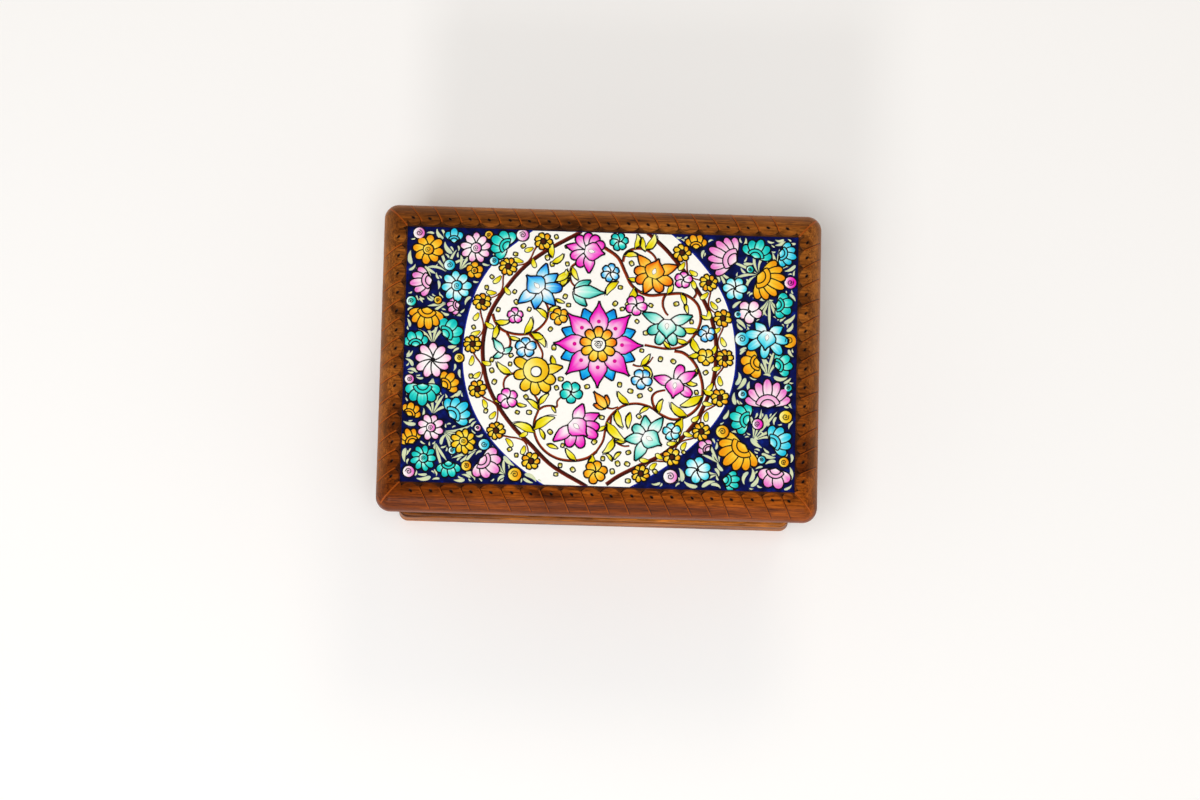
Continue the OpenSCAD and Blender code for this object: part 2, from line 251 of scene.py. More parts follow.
def walnut(name, stretch, shift=(0, 0, 0), tone=1.0, carved=False):
    """Oiled walnut: broad growth bands, fine grain lines, short dark pores, a soft sheen.

    stretch is how fast the grain changes along X, Y and Z: slowest along the board.
    """
    n = Nodes(name)

    def grain(fine, squeeze=1.0):
        """fine is in lines a millimetre, and squeeze changes how fast the slow axes go."""
        return n.mapped([fine / MM * (k * squeeze if k < 1 else k) for k in stretch], shift)

    def toned(colour):
        return tuple(tone * c for c in colour)

    bands = n.noise(grain(0.16), detail=4, rough=0.55, distort=1.6)
    fine = n.noise(grain(3.0, 0.8), detail=4, rough=0.65, distort=0.3)
    pores = n.noise(grain(5.5, 1.1), detail=2, rough=0.5)
    patches = n.noise(n.mapped((38, 38, 38), shift), detail=2)
    dark, brown, amber = toned(WALNUT_DARK), toned(WALNUT_BROWN), toned(WALNUT_AMBER)
    colour = n.ramp(bands, (0.30, dark), (0.47, brown), (0.62, amber), (0.75, brown))
    lines = n.ramp(
        fine, (0.34, (0.28, 0.22, 0.16)), (0.50, (0.95, 0.90, 0.85)), (0.66, (1.55, 1.45, 1.3))
    )
    colour = n.mix(0.95, colour, lines, "MULTIPLY")
    warm = n.ramp(patches, (0.35, (0.85, 0.80, 0.80)), (0.65, (1.15, 1.12, 1.0)))
    colour = n.mix(0.7, colour, warm, "MULTIPLY")
    pits = n.grey(pores, 1.0, 0.0, (0.30, 0.42))
    colour = n.mix(n.math("MULTIPLY", pits, 0.65), colour, WALNUT_PORE)
    if carved:
        # the slab is darker and redder towards its front edge
        y = fill(n.add("SeparateXYZ"), Vector=n.mapped((1, 1, 1))).outputs["Y"]
        back = n.math("ADD", n.grey(y, 0.0, 1.0, (-0.06, 0.03)), n.grey(bands, -0.15, 0.15))
        red = n.ramp(back, (0.1, (0.92, 0.62, 0.25)), (0.75, (1.0, 0.98, 0.95)))
        colour = n.mix(1.0, colour, red, "MULTIPLY")
        # the carving's marks: wear and freshly cut wood, each with a painted highlight, and painted
        # shade in the cuts
        for mark, tint in (("worn_and_lit", WALNUT_WORN_LIT), ("fresh_and_lit", WALNUT_FRESH_LIT), ("dark", WALNUT_CUT_SHADE)):
            colour = n.mix(n.attribute(mark), colour, tint)
    height = n.math("SUBTRACT", n.math("MULTIPLY", fine, 0.5), n.math("MULTIPLY", pits, 0.8))
    n.set(Base_Color=colour, Roughness=n.grey(fine, 0.34, 0.52), Normal=n.bump(height, 0.5, 0.05))
    n.set(Specular_IOR_Level=0.13, Coat_Weight=0.04, Coat_Roughness=0.2)
    return n.material


def metal(name, colour, rough, tarnish, amount):
    """Cast or rolled metal with patches of tarnish and fine scratches."""
    n = Nodes(name)
    patches = n.noise(n.mapped((220, 220, 220)), detail=5, rough=0.6)
    scratch = n.noise(n.mapped((300, 6000, 6000)), detail=2)
    n.set(
        Base_Color=n.mix(n.grey(patches, 0.0, amount, (0.42, 0.68)), colour, tarnish),
        Roughness=n.grey(patches, rough, rough + 0.22, (0.35, 0.7)),
        Metallic=1.0,
        Normal=n.bump(scratch, 0.15, 0.02),
    )
    return n.material


def velvet(name):
    """Short pile: a dark base with a bright sheen, and pile brushed in soft patches."""
    n = Nodes(name)
    pile = n.noise(n.mapped((2600, 2600, 2600)), detail=3, rough=0.7)
    brushed = n.noise(n.mapped((60, 34, 60)), detail=3, rough=0.55, distort=0.8)
    colour = n.ramp(brushed, (0.36, (0.105, 0.006, 0.020)), (0.64, (0.215, 0.014, 0.042)))
    tips = n.ramp(pile, (0.3, (0.5, 0.5, 0.5)), (0.7, (1.3, 1.3, 1.3)))
    n.set(Base_Color=n.mix(0.5, colour, tips, "MULTIPLY"), Roughness=0.95, Specular_IOR_Level=0.1)
    n.set(Sheen_Weight=0.9, Sheen_Roughness=0.35, Sheen_Tint=(1.0, 0.45, 0.5, 1))
    n.set(Normal=n.bump(pile, 0.6, 0.15))
    return n.material


def varnished(n, colour, rough, brush, specular):
    n.set(Base_Color=colour, Roughness=rough, Specular_IOR_Level=specular)
    n.set(Coat_Weight=0.3, Coat_Roughness=0.08, Normal=n.bump(brush, 0.25, 0.02))
    return n.material


def paint(name):
    """The stroke's own tint, mottled by the brush, under varnish."""
    n = Nodes(name)
    blot = n.noise(n.mapped((900, 900, 900)), detail=3, rough=0.6)
    brush = n.noise(n.mapped((2600, 700, 900)), detail=2)
    mottle = n.ramp(blot, (0.3, (0.94, 0.94, 0.93)), (0.7, (1.03, 1.03, 1.03)))
    colour = n.mix(0.5, n.attribute("tint", "Color"), mottle, "MULTIPLY")
    return varnished(n, colour, n.grey(blot, 0.38, 0.55), brush, 0.3)


def navy_ground(name):
    """The panel itself: navy paint laid on with a broad brush, under varnish."""
    n = Nodes(name)
    blot = n.noise(n.mapped((420, 420, 420)), detail=4, rough=0.6)
    brush = n.noise(n.mapped((260, 1800, 260)), detail=3)
    colour = n.ramp(blot, (0.35, srgb("00042e")), (0.58, srgb("020e54")), (0.78, srgb("082896")))
    return varnished(n, colour, n.grey(blot, 0.32, 0.5), brush, 0.25)


# ---- meshes ----


def new_piece(name, points_mm, faces, material, body):
    mesh = bpy.data.meshes.new(name)
    mesh.from_pydata((np.asarray(points_mm) * MM).tolist(), [], faces)
    mesh.update()
    mesh.materials.append(material)
    piece = new_object(name, mesh)
    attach(piece, body)
    return piece


def smooth(piece, degrees):
    piece.data.polygons.foreach_set("use_smooth", [True] * len(piece.data.polygons))
    piece.data.set_sharp_from_angle(angle=math.radians(degrees))


def tidy_mesh(mesh, join_mm, turned):
    """Joins points that meet, and turns faces: all outwards, or up where they look down."""
    bm = bmesh.new()
    bm.from_mesh(mesh)
    bmesh.ops.remove_doubles(bm, verts=bm.verts, dist=join_mm * MM)
    if turned == "out":
        bmesh.ops.recalc_face_normals(bm, faces=bm.faces)
    else:
        bm.normal_update()
        bmesh.ops.reverse_faces(bm, faces=[f for f in bm.faces if f.normal.z < 0])
    bm.to_mesh(mesh)
    bm.free()


# ---- carved lid ----

PETALS = {"long": 20, "short": 14}
FIRST_PETAL = 0.68  # of the others' width: it is cut short by the corner's diagonal
FLAT = 2.0  # level wood between the panel and the shoulder
SHOULDER_DROP = 5.5
CORNER_R = 5.0
LOWER_ROUND = 1.2
LOWER_WALL = 2.3  # height over the underside where the upright edge starts
GROOVE_LEAN = 3.8
GROOVE_MARGIN = 0.3  # plain wood outside the end of a groove
NO_GROOVE = 9.0
HEAD_RISE = 1.7
HEAD_MARGIN = 0.2
DOT_REACH = 2.9
DOT_R = 0.55
MITRE_W = 0.66
MITRE_DEPTH = 0.34
EDGE_WORN_LIT = 0.8  # how far in from the edge the wear and its painted highlight are strongest
LID_SMOOTH = 42  # degrees
LID_ROWS = ((0.24, 0.02), (0.44, 0.025), (0.78, 0.055), (0.9, 0.03), (1.0, 0.0165))  # of the rim
PETAL_STEPS = (0.14, 0.32, 0.15)  # by a groove, between, and by the dot


def spaced(*stretches):
    """Rising numbers: each stretch is (end, step), and the first starts at 0."""
    out = [0.0]
    for end, step in stretches:
        count = max(1, round((end - out[-1]) / step))
        out += list(np.linspace(out[-1], end, count + 1)[1:])
    return np.array(out)


ROWS = spaced(*LID_ROWS)


def shoulder(gap, rim):
    """How far the rim has fallen at a distance gap inside the outline."""
    r = ((rim - FLAT) ** 2 + SHOULDER_DROP**2) / (2 * SHOULDER_DROP)
    run = np.clip(rim - FLAT - gap, 0, rim - FLAT)
    return r - np.sqrt(r**2 - run**2)


def lean_at(o, rim):
    """How far a groove has leant back at a distance o from the panel."""
    part = (o - HEAD_RISE) / (rim - GROOVE_MARGIN - HEAD_RISE)
    return GROOVE_LEAN * np.clip(part, 0, 1.3) ** 1.15


def line_cut(distance, width):
    """1 on a line, falling smoothly to 0 at half its width."""
    return np.clip(1 - (2 * distance / width) ** 2, 0, 1)


def carving(s, o, rim, pitch, grooves, wobble):
    """Depth of the cut, freshly cut wood with a painted highlight, and painted shade in one petal.

    s runs clockwise and leans with the grooves: it is 0 in the middle of the petal. o is the
    distance from the panel. grooves says whether the petal has one behind it and one ahead.
    """
    head_r = ((pitch / 2) ** 2 + HEAD_RISE**2) / (2 * HEAD_RISE)
    out_of_head = np.hypot(s, o - HEAD_MARGIN - head_r) - head_r
    by_head = np.clip((HEAD_RISE + 0.3 - o) / 0.3, 0, 1)
    # chips between the heads slope down to the panel
    slope = 0.14 + 0.42 * np.clip(out_of_head / 1.1, 0, 1)
    chip = by_head * np.where(out_of_head > 0, slope, 0)
    # a fine arc round each head, darkened with painted shade
    arc = by_head * line_cut(np.abs(out_of_head), 0.44)
    # a crescent, cut and darkened with painted shade, where the ahead side of the head meets its
    # groove
    ahead = np.clip((s / pitch - 0.24) / 0.12, 0, 1)
    crescent = by_head * line_cut(np.abs(out_of_head - 0.1), 0.66 + 0.12 * wobble) * ahead
    # a groove on either side, finer as it runs out
    along = np.clip((o - HEAD_RISE) / (rim - HEAD_RISE), 0, 1)
    ends = np.clip((rim - GROOVE_MARGIN - o) / 0.4, 0, 1)
    ends = ends * np.clip((o - HEAD_RISE + 0.35) / 0.3, 0, 1)
    near = pitch / 2 - abs(s) if grooves[int(s > 0)] else NO_GROOVE
    line = line_cut(near, 0.84) * ends * (1 - 0.2 * along)
    # a punched dot in the head, darkened with painted shade
    away = np.hypot(s - 0.2 * wobble, o - DOT_REACH - 0.18 * wobble)
    dot = np.clip(1.2 - away / DOT_R, 0, 1)
    depth = np.maximum.reduce([chip, 0.16 * arc, 0.55 * crescent, 0.45 * line, 0.55 * dot])
    # one wall of a groove shows freshly cut red wood with a painted highlight, the other lies in
    # painted shade
    fresh_and_lit = 0.85 * line_cut(near, 1.0) * ends * (1 - 0.35 * along) if s < 0 else 0 * o
    shade = line_cut(near, 0.95) * ends if s > 0 else 0 * o
    # painted shade in the chips, crescents, dots, arcs and the shaded groove wall
    in_chip = np.clip(chip * 3, 0, 1)
    dark = [0.95 * crescent, 2.2 * dot, 0.95 * shade, 0.8 * arc, 0.75 * in_chip]
    return depth, np.clip(fresh_and_lit, 0, 1), np.clip(np.maximum.reduce(dark), 0, 1)


def petal_places(pitch):
    """Places along one petal, closer together by its grooves and its dot."""
    groove, between, dot = PETAL_STEPS
    near, middle, around = 0.56, pitch / 2, 0.6
    return spaced(
        (near, groove), (middle - around, between), (middle + around, dot),
        (pitch - near, between), (pitch, groove),
    )


def side_columns(along, count, rng):
    """Columns of one side, from its rear corner: place, lean, and the petal's facts."""
    pitch = along / (count - 1 + FIRST_PETAL)
    joints = [-along / 2] + [-along / 2 + (k + FIRST_PETAL) * pitch for k in range(count)]
    joints[1:-1] = [x + rng.uniform(-0.22, 0.22) for x in joints[1:-1]]
    leans = [1.0] + [rng.uniform(0.82, 1.15) for _ in joints[1:-1]] + [1.0]
    for k in range(count):
        width = joints[k + 1] - joints[k]
        wobble = rng.uniform(-1, 1)
        places = petal_places(width)
        for place in places if k == count - 1 else places[:-1]:
            lean = leans[k] + place / width * (leans[k + 1] - leans[k])
            facts = (place - width / 2, width, (k > 0, k < count - 1), wobble)
            yield joints[k] + place, lean, facts


def outline_gap(x, y):
    """Distance inward from the lid's outline in plan, and the outward direction there."""
    q = np.abs([x, y]) - np.array([[LID_W / 2 - CORNER_R], [LID_D / 2 - CORNER_R]])
    over = np.clip(q, 0, None)
    gap = CORNER_R - np.linalg.norm(over, axis=0) - np.minimum(q.max(axis=0), 0)
    straight = np.where(q[0] > q[1], [[1.0], [0.0]], [[0.0], [1.0]])
    bent = over / np.maximum(np.linalg.norm(over, axis=0), 1e-9)
    out = np.where((q > 0).all(axis=0), bent, straight)
    return gap, out * np.sign([x, y])


def lid_columns():
    """Columns of the rim: points in plan, the rim's width and the petal's facts, or None."""
    rng = np.random.default_rng(7)
    sides = (("long", PANEL_W, PANEL_D, RIM_LONG), ("short", PANEL_D, PANEL_W, RIM_SHORT))
    for turn in range(4):
        kind, along, across, rim = sides[turn % 2]
        next_rim = sides[1 - turn % 2][3]
        a = -math.pi / 2 * turn
        spin = np.array([[math.cos(a), -math.sin(a)], [math.sin(a), math.cos(a)]])
        o = ROWS * rim
        for place, lean, facts in side_columns(along, PETALS[kind], rng):
            yield spin @ [place - lean * lean_at(o, rim), across / 2 + o], rim, facts
        corner = np.array([along / 2, across / 2])
        middle = corner + np.array([next_rim, rim]) - CORNER_R
        straight = np.linspace(corner[0] - lean_at(rim, rim), middle[0], 14)[1:-1]
        last = math.acos((lean_at(next_rim, next_rim) - rim + CORNER_R) / CORNER_R)
        bend = np.linspace(0, last, 36)[:-1]
        ends = [(x, across / 2 + rim) for x in straight]
        ends += [middle + CORNER_R * np.array([math.sin(t), math.cos(t)]) for t in bend]
        for k, end in enumerate(ends):
            here = rim + (next_rim - rim) * (k + 1) / (len(ends) + 1)
            yield spin @ (corner[:, None] + np.outer(np.array(end) - corner, ROWS)), here, None


def rim_surface():
    """Points of the rim as [column, row, xyz], and its marks there: wear and freshly cut wood, each
    with a painted highlight, and painted shade.
    """
    points, marks = [], []
    for plan, rim, facts in lid_columns():
        gap, out = outline_gap(*plan)
        plan = plan + np.minimum(gap, 0) * out
        gap = np.maximum(gap, 0)
        if facts:
            depth, fresh_and_lit, dark = carving(facts[0], ROWS * rim, rim, *facts[1:])
        else:
            past = np.abs(plan) - np.array([[PANEL_W / 2], [PANEL_D / 2]])
            off = (past[0] * RIM_LONG - past[1] * RIM_SHORT) / math.hypot(RIM_LONG, RIM_SHORT)
            mitre = line_cut(off, MITRE_W) * np.clip((gap - GROOVE_MARGIN) / 0.4, 0, 1)
            # the mitre takes the same lit, freshly cut tint as a groove wall, and a little painted
            # shade
            depth, fresh_and_lit, dark = MITRE_DEPTH * mitre, 0.9 * mitre, 0.15 * mitre
        edge = np.clip(1 - gap / EDGE_WORN_LIT, 0, 1) ** 2
        points.append(np.column_stack([*plan, LID_Z + LID_T - shoulder(gap, rim) - depth]))
        # wear with a painted highlight over the outer shoulder, most at the very edge
        worn_and_lit = 0.25 * np.clip(1 - gap / 4, 0, 1) + 0.2 * edge
        worn_and_lit = np.clip((plan[1] + 51) / 8, 0, 1) * worn_and_lit  # the painted highlight is kept off the front
        marks.append(np.column_stack([fresh_and_lit, dark, worn_and_lit]))
    return np.array(points), np.array(marks)


def make_carved_lid(material):
    top, marks = rim_surface()
    edge = top[:, -1]
    _, out = outline_gap(edge[:, 0], edge[:, 1])

    def side(inset, z):
        ring = edge.copy()
        ring[:, :2] -= (out * inset).T
        ring[:, 2] = z
        return ring

    inner = top[:, 0].copy()
    inner[:, 2] = RECESS_Z
    rings = [inner, *top.transpose(1, 0, 2), side(0, LID_Z + LOWER_WALL)]
    for t in np.linspace(0, math.pi / 2, 5):
        up = LID_Z + LOWER_ROUND * (1 - math.sin(t))
        rings.append(side(LOWER_ROUND * (1 - math.cos(t)), up))
    n, m = len(inner), len(rings)
    faces = [list(range(n))[::-1], [(m - 1) * n + i for i in range(n)]]
    for r in range(0, (m - 1) * n, n):
        for i in range(n):
            j = (i + 1) % n
            faces.append([r + i, r + j, r + n + j, r + n + i])
    lid = new_piece("carved_lid", np.concatenate(rings), faces, material, "lid")
    values = np.zeros((m, n, 3))
    values[1 : 1 + top.shape[1]] = marks.transpose(1, 0, 2)
    for k, name in enumerate(("fresh_and_lit", "dark", "worn_and_lit")):
        made = lid.data.attributes.new(name, "FLOAT", "POINT")
        made.data.foreach_set("value", values[..., k].ravel().astype(np.float32))
    tidy_mesh(lid.data, 0.002, "out")
    cut_hinge_beds(lid)
    smooth(lid, LID_SMOOTH)
    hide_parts("lid_board")


HINGES = ("left_hinge", "right_hinge")
COVE_R = 1.8
COVE_OVER = 0.6  # the cove is longer than the knuckles by this at each end
LEAF_PLAY = 0.1
BED_DEPTH = 0.8


def cut_hinge_beds(lid):
    """Cuts the leaves' beds and the knuckles' coves out of the lid's underside."""
    axis = np.array(frame["joints"][0]["pos_m"]) / MM
    for hinge in HINGES:
        low, high = box_mm(hinge + "_lid_leaf")
        bed = np.array([low[:2] - LEAF_PLAY, [high[0] + LEAF_PLAY, axis[1]]])
        bpy.ops.mesh.primitive_cube_add(size=1)
        cutter = bpy.context.object
        cutter.scale = Vector((*(bed[1] - bed[0]), BED_DEPTH + 1)) * MM
        cutter.location = Vector((*(bed[0] + bed[1]) / 2, LID_Z + (BED_DEPTH - 1) / 2)) * MM
        subtract(lid, cutter)
        length = high[0] - low[0] + 2 * COVE_OVER
        bpy.ops.mesh.primitive_cylinder_add(vertices=48, radius=COVE_R * MM, depth=length * MM)
        cutter = bpy.context.object
        cutter.rotation_euler = (0, math.pi / 2, 0)
        cutter.location = Vector(((low[0] + high[0]) / 2, axis[1], axis[2])) * MM
        subtract(lid, cutter)


def subtract(piece, cutter):
    cut = piece.modifiers.new("cut", "BOOLEAN")
    cut.operation = "DIFFERENCE"
    cut.solver = "MANIFOLD"
    cut.object = cutter
    bpy.context.view_layer.objects.active = piece
    bpy.ops.object.modifier_apply(modifier=cut.name)
    bpy.data.objects.remove(cutter)


# ---- velvet on the floor ----

VELVET_ROLL = 1.3  # how far in the edge is rolled down
VELVET_EDGE = np.array([0.0, 0.12, 0.35, 0.75, 1.3, 2.2])  # places of the points by the edge
VELVET_INSIDE = 4  # mm from the edge to the even points
VELVET_COUNT = (72, 44)
VELVET_SMOOTH = 60  # degrees


def make_floor_velvet(material):
    """Velvet on a thin card: a soft crown, edges rolled down, and a slightly uneven nap."""
    low, high = box_mm("floor_lining")
    size, thick = high[:2] - low[:2], high[2] - low[2]
    rng = np.random.default_rng(5)
    waves = [(rng.uniform(0.04, 0.16, 2), rng.uniform(0, 6.3)) for _ in range(7)]
    places = []
    for a, b, count in zip(low, high, VELVET_COUNT):
        even = np.linspace(a + VELVET_INSIDE, b - VELVET_INSIDE, count)
        places.append(np.concatenate([a + VELVET_EDGE, even, (b - VELVET_EDGE)[::-1]]))
    xs, ys = places
    points = []
    for y in ys:
        for x in xs:
            gap = min(x - low[0], high[0] - x, y - low[1], high[1] - y)
            roll = 1 - (1 - min(gap / VELVET_ROLL, 1)) ** 2.6
            nap = sum(math.sin(k[0] * x + k[1] * y + phase) for k, phase in waves) / len(waves)
            up = thick * (0.25 + 0.63 * roll) + 0.06 * thick * (1 + nap) * roll
            points.append((x, y, low[2] + up))
    n, m = len(ys), len(xs)
    border = [*range(m)] + [i * m + m - 1 for i in range(1, n)]
    border += [(n - 1) * m + j for j in range(m - 2, -1, -1)]
    border += [i * m for i in range(n - 2, 0, -1)]
    base, count = len(points), len(border)
    points += [(points[i][0], points[i][1], low[2]) for i in border]
    corners = [i * m + j for i in range(n - 1) for j in range(m - 1)]
    faces = [(a, a + 1, a + m + 1, a + m) for a in corners]
    for k in range(count):
        j = (k + 1) % count
        faces.append((base + k, base + j, border[j], border[k]))
    faces.append(tuple(base + k for k in range(count))[::-1])
    piece = new_piece("floor_velvet", points, faces, material, "box_body")
    tidy_mesh(piece.data, 0.002, "out")
    smooth(piece, VELVET_SMOOTH)
    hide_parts("floor_lining")


# ---- paint layers ----

LINE = 0.46  # how far black shows round a painted shape
STEP = 0.006  # rise from one coat of paint to the next
CROWN = 0.004  # how far the middle of a stroke stands over its edges
RISE = 0.013  # rise from one petal to the next that overlaps it
# heights of the coats over the panel
EDGE_Z, CREAM_Z, VINE_Z = 0.006, 0.012, 0.03
BLADE_Z, COMMA_Z, LEAF_Z, SEED_Z, SPINE_Z = 0.045, 0.05, 0.055, 0.06, 0.075
PETAL_Z, ROSEBUD_Z, BUD_Z, HEART_Z, PEN_Z = 0.08, 0.10, 0.13, 0.24, 0.30
MARGIN = 0.35  # bare board at the panel's edges
MAP_ROOM = 1.02  # side of the baked map, in widths of the panel
NAVY_REACH = (66.2, 44.2)


def srgb(name):
    """A colour as the eye names it, two hex digits a channel, in the renderer's linear scale."""
    parts = [v / 255 for v in bytes.fromhex(name)]
    return tuple(c / 12.92 if c <= 0.04045 else ((c + 0.055) / 1.055) ** 2.4 for c in parts)


TINTS = {  # base, middle and tip of a stroke
    "pink": "fffafa fcd4ea ee76ce",
    "magenta": "fff6fa f86ed8 f204bc",
    "rose": "fed6ee f854d4 ee04ba",
    "orange": "ffe460 fcc222 f29606",
    "flame": "ffde5a fca81c ea5c06",
    "yellow": "fff496 fcdc34 f2b80e",
    "cyan": "ecffff 68e8f6 0ebee4",
    "blue": "fcffff 58d2fa 0070e8",
    "azure": "96ecff 1ec4fa 0086e2",
    "teal": "fcfffc 8cf0e0 00aaa0",
    "aqua": "e2fff8 38e8d6 00baba",
    "leaf": "e2cc00 f6e610 fdfa96",
    "seed": "968810 e2d43c fdfbdc",
    "comma": "bacaa2 dee4b8 bad0ba",
    "white": "fffdf7",
    "vine": "300602 802208 e66c1c",
    "bough": "2e0602 541004 aa3a0c",
    "magenta_dot": "dc0096",
    "ink": "060406",
    "brown": "3a1608 542208 3a1608",
}
TINTS = {name: [srgb(c) for c in (stops.split() * 3)[:3]] for name, stops in TINTS.items()}
INK = TINTS["ink"][0]


def blend3(stops, t):
    """Colours at places t from 0 to 1 between three stops."""
    t = np.asarray(t)[..., None]
    a, b, c = (np.array(stop) for stop in stops)
    return np.where(t < 0.5, a + (b - a) * 2 * t, b + (c - b) * (2 * t - 1))


def on_panel(grid):
    """Keeps a patch within the panel's edges."""
    reach = np.array([PANEL_W / 2 - MARGIN, PANEL_D / 2 - MARGIN])
    return np.clip(grid, -reach, reach)


class Layer:
    """All the paint of one kind: patches of rows and columns, each at its own height."""

    def __init__(self, name):
        self.name = "paint_" + name
        self.points, self.faces, self.tints = [], [], []

    def patch(self, grid, height, tints):
        """grid is [row, column, xy] in mm, height and tints are per point or for all."""
        n, m = grid.shape[:2]
        first = len(self.points)
        high = np.broadcast_to(height, (n, m))
        self.points += np.dstack([grid, PANEL_Z + high]).reshape(-1, 3).tolist()
        colours = np.broadcast_to(tints, (n, m, 3))
        self.tints += np.dstack([colours, np.ones((n, m))]).reshape(-1, 4).tolist()
        for i in range(n - 1):
            for j in range(m - 1):
                a = first + i * m + j
                self.faces.append((a, a + m, a + m + 1, a + 1))

    def make(self, material):
        piece = new_piece(self.name, self.points, self.faces, material, "lid")
        mesh = piece.data
        made = mesh.attributes.new("tint", "FLOAT_COLOR", "POINT")
        made.data.foreach_set("color", np.array(self.tints, np.float32).ravel())
        mesh.polygons.foreach_set("use_smooth", [True] * len(mesh.polygons))
        tidy_mesh(mesh, 0.0005, "up")
        plan_uv(mesh)


def plan_uv(mesh):
    """The panel seen from above, as the map that a bake uses."""
    uv = mesh.uv_layers.new(name="OFBake")
    places = np.array([mesh.vertices[loop.vertex_index].co[:2] for loop in mesh.loops]) / MM
    places = places / (MAP_ROOM * PANEL_W) + 0.5
    uv.data.foreach_set("uv", places.astype(np.float32).ravel())


class Crowd:
    """Circles (x, y, radius) about what is painted, so that the small strokes keep clear."""

    def __init__(self):
        self.rows, self.count = np.zeros((30000, 3)), 0

    def add(self, *circle):
        self.rows[self.count] = circle
        self.count += 1

    def free(self, x, y, r):
        rows = self.rows[: self.count]
        far = (rows[:, 0] - x) ** 2 + (rows[:, 1] - y) ** 2 > (rows[:, 2] + r) ** 2
        return bool(far.all())


cream, edge, vines, leaves = Layer("cream"), Layer("blue_edge"), Layer("vines"), Layer("leaves")
petals, hearts = Layer("petals"), Layer("hearts")
backing, ink = Layer("outlines"), Layer("ink")
taken = Crowd()
hand = np.random.default_rng(11)

# ---- strokes of the brush ----

FORMS = {  # where the stroke is widest, width at its base, shape of its tip
    "round": (0.62, 0.34, "round"),
    "point": (0.46, 0.30, "point"),
    "leaf": (0.42, 0.0, "point"),
    "comma": (0.70, 0.12, "round"),
    "drop": (0.60, 0.10, "round"),
    "disc": (0.50, 0.0, "disc"),
    "ogee": (0.42, 0.36, "ogee"),
    "blade": (0.60, 0.05, "point"),
}


def polar(x, y, far, degrees):
    """The place at a distance from x, y, in a direction."""
    a = math.radians(degrees)
    return x + far * math.cos(a), y + far * math.sin(a)


def heading(line, part):
    """The point at a part of the way along a line, and the unit direction there."""
    i = int(part * (len(line) - 2))
    way = line[i + 1] - line[i]
    return line[i], way / np.linalg.norm(way)


def half_width(t, form):
    widest, base, tip = FORMS[form]
    if tip == "disc":
        return np.sqrt(np.clip(1 - (2 * t - 1) ** 2, 0, 1))
    early = base + (1 - base) * np.sin(np.pi / 2 * np.clip(t / widest, 0, 1))
    q = np.clip((t - widest) / (1 - widest), 0, 1)
    tips = {"round": np.sqrt(1 - q**2), "point": 1 - q**1.5, "ogee": 0.5 + 0.5 * np.cos(np.pi * q)}
    return np.where(t < widest, early, tips[tip])


def stroke_grid(x, y, angle, length, width, form, bend=0.0, grow=0.0, cols=5):
    """A stroke's patch: it starts at x, y and turns by bend degrees on its way."""
    s = np.linspace(0, 1, 9)
    t = 0.5 - 0.5 * np.cos(np.pi * s)
    along = t * (length + 1.6 * grow) - 0.6 * grow
    turn = math.radians(bend) or 1e-6
    curl = turn * along / length
    centre = np.column_stack([np.sin(curl), 1 - np.cos(curl)]) * length / turn
    normal = np.column_stack([-np.sin(curl), np.cos(curl)])
    wide = half_width(t, form) * width / 2 + grow
    across = np.linspace(-1, 1, cols)
    grid = centre[:, None] + normal[:, None] * (wide[:, None] * across)[..., None]
    a = math.radians(angle)
    spin = np.array([[math.cos(a), math.sin(a)], [-math.sin(a), math.cos(a)]])
    return on_panel(grid @ spin + [x, y]), s, across


def dab(layer, x, y, angle, length, width, form, tint, height,
        bend=0.0, line=LINE, shade=0.0, gain=1.9, turn_at=0.5):
    """One stroke of colour on its black backing, streaked by the brush.

    gain is how fast the colour turns from base to tip, turn_at is where it is halfway, and
    shade makes the edges deeper.
    """
    if line:
        back, _, _ = stroke_grid(x, y, angle, length, width, form, bend, line, cols=2)
        backing.patch(back, height, INK)
    cols = 7
    grid, s, across = stroke_grid(x, y, angle, length, width, form, bend, cols=cols)
    streak = hand.uniform(-0.10, 0.08) + hand.uniform(-0.16, 0.16, cols)
    place = 0.5 + gain * (s[:, None] - turn_at) + shade * np.abs(across) ** 3 * s[:, None]
    place = np.clip(place + streak, 0, 1)
    crown = CROWN * (1 - across**2) * np.sin(np.pi * s)[:, None]
    layer.patch(grid, height + STEP + crown, blend3(TINTS[tint], place))


def smooth_line(points, per=8):
    """A smooth line through the points."""
    p = np.array(points, float)
    p = np.vstack([2 * p[0] - p[1], p, 2 * p[-1] - p[-2]])
    out = []
    for a, b, c, d in zip(p, p[1:], p[2:], p[3:]):
        bent, swung = 2 * a - 5 * b + 4 * c - d, 3 * b - a - 3 * c + d
        for t in np.arange(per) / per:
            out.append(0.5 * (2 * b + (c - a) * t + bent * t**2 + swung * t**3))
    return np.array(out + [p[-2]])


def ribbon(layer, line, width, height, tints, taper=(1.0, 1.0)):
    """A painted line: its width goes from the first taper to the second, tints go across."""
    way = np.gradient(line, axis=0)
    way /= np.linalg.norm(way, axis=1)[:, None]
    normal = np.column_stack([-way[:, 1], way[:, 0]])
    wide = width / 2 * np.linspace(*taper, len(line))
    across = np.linspace(-1, 1, len(tints))
    grid = line[:, None] + normal[:, None] * (wide[:, None] * across)[..., None]
    layer.patch(on_panel(grid), height, np.array(tints))


def pen(points, width, height, taper):
    ribbon(ink, smooth_line(points, 4), width, height, [INK] * 2, taper)


def vine(points, width, tint="vine", taper=(1.0, 0.7)):
    line = smooth_line(points)
    ribbon(backing, line, width + 0.14, VINE_Z, [INK] * 2, taper)
    dark, mid, light = TINTS[tint]
    ribbon(vines, line, width, VINE_Z + 0.01, [light, mid, mid, dark, dark], taper)
    for place in line[::3]:
        taken.add(*place, 0.5 * width + 0.25)
    return line


def disc(x, y, r, tint, height, line=LINE):
    dab(hearts, x - r, y, 0, 2 * r, 2 * r, "disc", tint, height, line=line)


